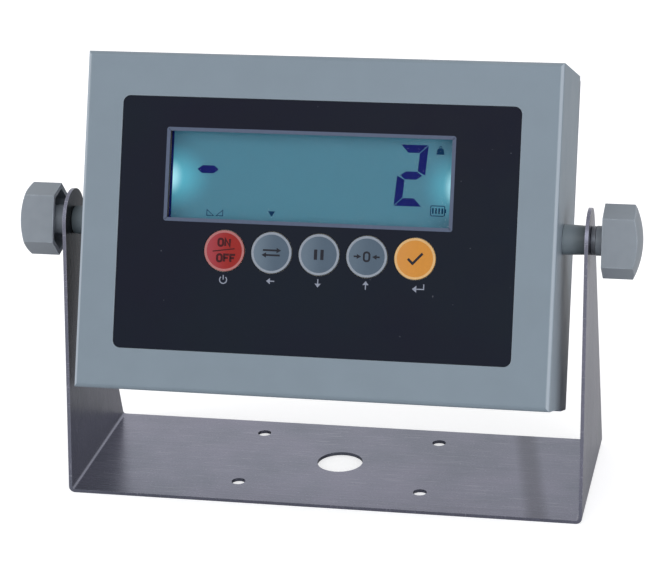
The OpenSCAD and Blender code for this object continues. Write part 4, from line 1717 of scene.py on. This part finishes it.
@dataclass
class FrontPanel:
    """The dark panel film with its printed border and the small signs under the keys."""

    film_depth: float = 0.3
    ink: float = 0.03
    window: Spot = (-3.5, 20.0)
    clear: Spot = (118.5, 36.0)
    border: float = 1.5
    border_round: float = 0.3
    sign_up: float = -22.7
    sign_stroke: float = 0.45
    power_drop: float = 0.3
    power_ring: float = 1.5
    power_gap: float = 40.0
    power_bar: Spot = (0.1, 2.0)
    arrow_tip: float = 1.75
    arrow_tail: float = 1.7
    arrow_head: float = 1.6
    arrow_half: float = 1.3
    enter_right: float = 1.8

    def power_sign(self, pen: Pen, across: float) -> None:
        """Draws a ring that is open at the top round an upright bar.

        Args:
            pen: Draws the strokes.
            across: Place of its middle.
        """
        up, ring = self.sign_up - self.power_drop, (self.power_ring, self.power_ring)
        top, turn = 90.0, 360.0
        pen.line(Outline.arc((across, up), ring, top + self.power_gap, top + turn - self.power_gap))
        pen.line([(across, up + z) for z in self.power_bar])

    def arrow(self, pen: Pen, across: float, way: tuple[int, int]) -> None:
        """Draws a small arrow.

        Args:
            pen: Draws the strokes.
            across: Place of its middle.
            way: Where it points, to the right and up.
        """
        x, z, (dx, dz), half = across, self.sign_up, way, self.arrow_half
        neck = self.arrow_tip - self.arrow_head
        base = (x + dx * neck, z + dz * neck)
        pen.fill([(x + dx * self.arrow_tip, z + dz * self.arrow_tip),
                  (base[0] - dz * half, base[1] + dx * half), (base[0] + dz * half, base[1] - dx * half)])
        pen.line([base, (x - dx * self.arrow_tail, z - dz * self.arrow_tail)])

    def enter_sign(self, pen: Pen, across: float) -> None:
        """Draws an arrow to the left with its tail bent up.

        Args:
            pen: Draws the strokes.
            across: Place of its key's middle.
        """
        at = (across + self.enter_right, self.sign_up)
        head = [(-2.5, -0.6), (-0.7, 0.85), (-0.7, -2.05)]
        shaft = [(-0.8, -0.6), (2.3, -0.6), (2.3, 1.5)]
        pen.fill(Outline.moved(head, at))
        pen.line(Outline.moved(shaft, at))

    def build(self, bench: Bench, keys: Keys) -> None:
        """Dresses the film and prints on it.

        Args:
            bench: Makes the pieces.
            keys: Gives the places of the keys.
        """
        bench.dress(Finishes.FILM, "panel_overlay")
        bench.dress(Finishes.TRACKS, "keypad_circuit")
        bench.dress(Finishes.TAIL, "keypad_tail")
        bench.dress(Finishes.IVORY, "keypad_connector")
        bench.dress(Finishes.ZINC, "snap_domes")
        border, signs = Solid(), Solid()
        middle = Outline.rounded(self.clear[0] + self.border, self.clear[1] + self.border,
                                 self.border_round, self.window)
        Pen(border, self.film_depth - self.ink, self.ink, self.border).line(middle, closed=True)
        pen = Pen(signs, self.film_depth - self.ink, self.ink, self.sign_stroke)
        self.power_sign(pen, keys.place(0))
        for number, way in ((1, (-1, 0)), (2, (0, -1)), (3, (0, 1))):
            self.arrow(pen, keys.place(number), way)
        self.enter_sign(pen, keys.place(4))
        for name, solid, ink in (("window_border", border, Finishes.BORDER),
                                 ("panel_signs", signs, Finishes.MARK)):
            bench.piece(name, solid, "indicator", [ink], at=bench.housing)


@dataclass
class Display:
    """The lit display: its face, the digit, the minus bar and the small signs."""

    centre: Spot = (-3.5, 20.0)
    face: Spot = (126.0, 40.0)
    face_round: float = 0.4
    face_depth: float = 4.6
    shown: Spot = (117.4, 36.6)
    mask: float = 3.0
    mask_round: float = 0.2
    step: float = 0.04
    digit_at: Spot = (38.6, 23.05)
    digit_size: Spot = (11.6, 25.2)
    bar: float = 3.3
    gap: float = 0.2
    slant: float = 0.077
    crossing: float = 0.4
    minus_at: Spot = (-47.1, 22.65)
    minus_length: float = 8.6
    minus_tip: float = 0.3
    sign_stroke: float = 0.35

    def pen(self, solid: Solid, width: float = 0.0) -> Pen:
        """Returns a pen of that width for the layer in front of the lit face."""
        return Pen(solid, self.face_depth - 2 * self.step, self.step, width)

    def bar_shape(self, a: Spot, b: Spot, inner: int, corners: Spot) -> list[Spot]:
        """Outline of one bar of a digit.

        Args:
            a: One end of its middle line.
            b: The other end.
            inner: 0 for a bar with points at both ends; 1 or -1 for one along the digit's edge,
                slanted towards the digit's middle, which lies to that side of the line.
            corners: How far it runs on at each end, as a share of half its width: the tips of a
                pointed bar, or the outer side of one along the edge, which has 1 at a corner of
                the digit and 0 where it meets the middle bar.

        Returns:
            The points.
        """
        along = (Vector(b) - Vector(a)).normalized()
        side = Vector((-along.y, along.x))
        half = self.bar / 2
        start, end = Vector(a) + along * self.gap, Vector(b) - along * self.gap
        first, last = start - along * half * corners[0], end + along * half * corners[1]
        if inner == 0:
            points = [first, start + (along + side) * half, end + (side - along) * half, last,
                      end - (side + along) * half, start + (along - side) * half]
        else:
            far, near = -side * inner * half, side * inner * half
            points = [far + first, far + last, end + near - along * half, start + near + along * half]
        return [(p.x, p.y) for p in points]

    def digit(self, pen: Pen) -> None:
        """Draws the digit 2 from its five bars.

        Args:
            pen: Draws the bars.
        """
        w, h = (self.digit_size[0] - self.bar) / 2, (self.digit_size[1] - self.bar) / 2
        bars = (
            ((-w, h), (w, h), -1, (1.0, 1.0)), ((w, h), (w, 0.0), -1, (1.0, 0.0)),
            ((-w, 0.0), (w, 0.0), 0, (self.crossing, self.crossing)),
            ((-w, -h), (-w, 0.0), -1, (1.0, 0.0)), ((-w, -h), (w, -h), 1, (1.0, 1.0)),
        )
        for bar in bars:
            pen.fill(Outline.moved(self.bar_shape(*bar), self.digit_at, slant=self.slant))

    def minus(self, pen: Pen) -> None:
        """Draws the minus bar.

        Args:
            pen: Draws the bar.
        """
        half, tips = self.minus_length / 2, (self.minus_tip, self.minus_tip)
        bar = self.bar_shape((-half, 0.0), (half, 0.0), 0, tips)
        pen.fill(Outline.moved(bar, self.minus_at, slant=self.slant))

    @staticmethod
    def battery_sign(pen: Pen) -> None:
        """Draws a battery with four marks inside.

        Args:
            pen: Draws the strokes.
        """
        x, z = 50.2, 8.95
        case, case_bend, line = (5.8, 4.1), 0.5, 0.36
        cap, cap_bend, cap_right = (0.6, 1.7), 0.2, 3.2
        mark, mark_bend, first_mark, pitch, marks = (0.7, 2.3), 0.1, -1.95, 1.3, 4
        pen.line(Outline.rounded(*case, case_bend, (x, z)), line, closed=True)
        pen.fill(Outline.rounded(*cap, cap_bend, (x + cap_right, z)))
        for n in range(marks):
            pen.fill(Outline.rounded(*mark, mark_bend, (x + first_mark + n * pitch, z)))

    @staticmethod
    def ramp_sign(pen: Pen) -> None:
        """Draws two ramps that fall towards each other.

        Args:
            pen: Draws the strokes.
        """
        x, z, apart = -43.4, 4.7, 1.9
        ramp = [(1.5, -1.2), (-1.3, -1.2), (1.5, 1.2)]
        for side in (-1, 1):
            pen.line([(x + side * (apart + a), z + b) for a, b in ramp], closed=True)

    @staticmethod
    def pointer_sign(pen: Pen) -> None:
        """Draws a triangle that points down."""
        pen.fill(Outline.moved([(0.0, -1.2), (1.5, 1.1), (-1.5, 1.1)], (-19.2, 5.1)))

    @staticmethod
    def weight_sign(pen: Pen) -> None:
        """Draws a weight with its ring.

        Args:
            pen: Draws the strokes.
        """
        x, z = 50.3, 33.5
        block = [(-1.7, -1.5), (1.7, -1.5), (1.2, 0.9), (-1.2, 0.9)]
        ring, ring_up, turn, steps, line = (0.5, 0.5), 1.4, 330.0, 12, 0.3
        pen.fill(Outline.moved(block, (x, z)))
        pen.line(Outline.arc((x, z + ring_up), ring, 0.0, turn, steps), line, closed=True)

    def build(self, bench: Bench) -> None:
        """Builds the display's pieces and dresses what lies round them.

        Args:
            bench: Makes the pieces.
        """
        bench.dress(Finishes.WINDOW, "display_window")
        bench.dress(Finishes.SEAL, "display_seal")
        bench.dress(Finishes.GLASS, "lcd_panel")
        bench.dress(Finishes.GUIDE, "backlight_guide")
        bench.dress(Finishes.LED, "backlight_leds")
        bench.dress(Finishes.BLACK, "lcd_holder")
        mask, face, bars, signs = Solid(), Solid(), Solid(), Solid()
        middle = Outline.rounded(self.shown[0] + self.mask, self.shown[1] + self.mask, self.mask_round,
                                 self.centre)
        self.pen(mask, self.mask).line(middle, closed=True)
        face.plate(Outline.rounded(*self.face, self.face_round, self.centre), self.face_depth - self.step,
                   self.step)
        self.digit(self.pen(bars))
        self.minus(self.pen(bars))
        pen = self.pen(signs, self.sign_stroke)
        for sign in (self.battery_sign, self.ramp_sign, self.pointer_sign, self.weight_sign):
            sign(pen)
        for name, solid, finish in (
            ("display_mask", mask, Finishes.SEGMENT), ("display_face", face, Finishes.LIT),
            ("display_bars", bars, Finishes.SEGMENT), ("display_signs", signs, Finishes.SIGN),
        ):
            bench.piece(name, solid, "indicator", [finish], at=bench.housing)


@dataclass
class Clamp:
    """One clamping knob with its stud and washer, on one side of the tilt axis."""

    side: int
    stud: Spot = (6.0, 4.9)
    pitch: float = 1.0
    knob_edge: float = 0.9
    knob_steps: int = 3
    knob_over: float = 24.0
    washer_edge: float = 0.25

    def build(self, bench: Bench) -> None:
        """Builds the knob, the threaded stud and the washer.

        Args:
            bench: Makes the pieces.
        """
        label = "left" if self.side < 0 else "right"
        handle, clamp, steel = f"{label}_handle", f"{label}_clamp", "screw_steel"
        bench.rounded(f"{label}_grip", f"{label}_knob", handle, "knob_plastic", Finishes.KNOB,
                      self.knob_edge, self.knob_steps, self.knob_over)
        low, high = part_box(f"{label}_stud")
        ends = sorted((self.side * low.x / MM, self.side * high.x / MM))
        rod = Solid()
        rod.thread(self.stud, self.pitch, ends)
        bench.piece(f"{label}_threaded_stud", rod, handle, [Finishes.ZINC],
                    at=bench.on_axis(self.side), replaces=[f"{label}_stud"])
        bench.rounded(f"{label}_ring", f"{label}_washer", clamp, steel, Finishes.WASHER, self.washer_edge)


class Internals:
    """The circuit board, the battery and their fixings inside the closed housing."""

    def build(self, bench: Bench) -> None:
        """Dresses the inner nodes.

        Args:
            bench: Gives the finishes to the nodes.
        """
        bench.dress(Finishes.BOARD, "main_board")
        bench.dress(Finishes.ZINC, "board_standoffs", "strap_nuts", "battery_strap")
        bench.dress(Finishes.SCREW, "board_screws")
        bench.dress(Finishes.BLACK, "control_chips", "sounder")
        bench.dress(Finishes.SLEEVE, "supply_capacitors")
        bench.dress(Finishes.GREEN, "terminal_block")
        bench.dress(Finishes.CASE, "battery")


@dataclass
class Lamp:
    """One large soft lamp that looks at the object."""

    name: str
    at: Point
    size: float
    power: float
    aim: Point = (0.0, 0.0, 100.0)

    def build(self) -> None:
        """Hangs the lamp."""
        light = bpy.data.lights.new(self.name, "AREA")
        light.energy, light.size, light.shape = self.power, self.size * MM, "SQUARE"
        obj = placed_object(self.name, light)
        obj.location = Vector(self.at) * MM
        way = (Vector(self.aim) - Vector(self.at)).normalized()
        obj.rotation_euler = way.to_track_quat("-Z", "Y").to_euler()


@dataclass
class Studio:
    """The floor, the light and the camera."""

    floor_size: float = 9000.0
    floor_drop: float = 0.1
    sky: float = 0.7
    camera_at: Point = (215.05, -973.96, 476.91)
    yaw: float = 12.491
    pitch: float = 21.622
    roll: float = 2.043
    sensor: float = 36.0
    lens: float = 135.46
    sight: Spot = (50.0, 50000.0)
    lamps: tuple[Lamp, ...] = (
        Lamp("lamp_left", at=(-1600.0, -900.0, 900.0), size=900.0, power=9.0),
        Lamp("lamp_right", at=(1250.0, -1150.0, 200.0), size=900.0, power=9.0),
        Lamp("lamp_front", at=(100.0, -1900.0, 1500.0), size=1400.0, power=6.0),
    )

    def camera(self) -> None:
        """Puts the camera where the photograph was taken."""
        a, e, r = (math.radians(v) for v in (self.yaw, self.pitch, self.roll))
        ahead = Vector((-math.sin(a) * math.cos(e), math.cos(a) * math.cos(e), -math.sin(e)))
        level = Vector((math.cos(a), math.sin(a), 0.0))
        down = ahead.cross(level)
        right = level * math.cos(r) + down * math.sin(r)
        under = down * math.cos(r) - level * math.sin(r)
        data = bpy.data.cameras.new("camera")
        data.sensor_width, data.lens = self.sensor, self.lens
        data.clip_start, data.clip_end = (distance * MM for distance in self.sight)
        obj = placed_object("camera", data)
        axes = Matrix((right, -under, -ahead)).transposed().to_4x4()
        obj.matrix_world = Matrix.Translation(Vector(self.camera_at) * MM) @ axes
        bpy.context.scene.camera = obj

    def floor(self) -> None:
        """Lays a plain pale floor that keeps the object's shadow."""
        half = self.floor_size / 2 * MM
        mesh = bpy.data.meshes.new("floor")
        corners = [(-half, -half, 0.0), (half, -half, 0.0), (half, half, 0.0), (-half, half, 0.0)]
        mesh.from_pydata(corners, [], [(0, 1, 2, 3)])
        mesh.materials.append(Finishes.PAPER.make())
        obj = placed_object("floor", mesh)
        obj.location.z = -self.floor_drop * MM

    def world(self) -> None:
        """Lights the room softly from all sides; seen or mirrored, it is plain white."""
        world = bpy.data.worlds.new("room")
        world.use_nodes = True
        bpy.context.scene.world = world
        s = Sketch(world.node_tree)
        path = s.add("ShaderNodeLightPath").outputs
        shown = s.calc("MAXIMUM", path["Is Camera Ray"], path["Is Glossy Ray"])
        shown = s.calc("MAXIMUM", shown, path["Is Transmission Ray"])
        strength = s.calc("ADD", s.calc("MULTIPLY", shown, 1 - self.sky), self.sky)
        s.feed(world.node_tree.nodes["Background"], {"Color": (1.0, 1.0, 1.0), "Strength": strength})

    def build(self) -> None:
        """Sets up the studio."""
        self.camera()
        self.floor()
        self.world()
        for lamp in self.lamps:
            lamp.build()
        bpy.context.scene.view_settings.view_transform = "Standard"


def main() -> None:
    """Builds the studio and every sub-assembly in order."""
    logging.basicConfig(level=logging.INFO, format="%(name)s: %(message)s")
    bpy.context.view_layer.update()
    Studio().build()
    bench = Bench()
    keys = Keys()
    Bracket().build(bench)
    Housing().build(bench)
    FrontPanel().build(bench, keys)
    keys.build(bench)
    Display().build(bench)
    for side in (-1, 1):
        Clamp(side).build(bench)
    Internals().build(bench)


if __name__ == "__main__":
    main()
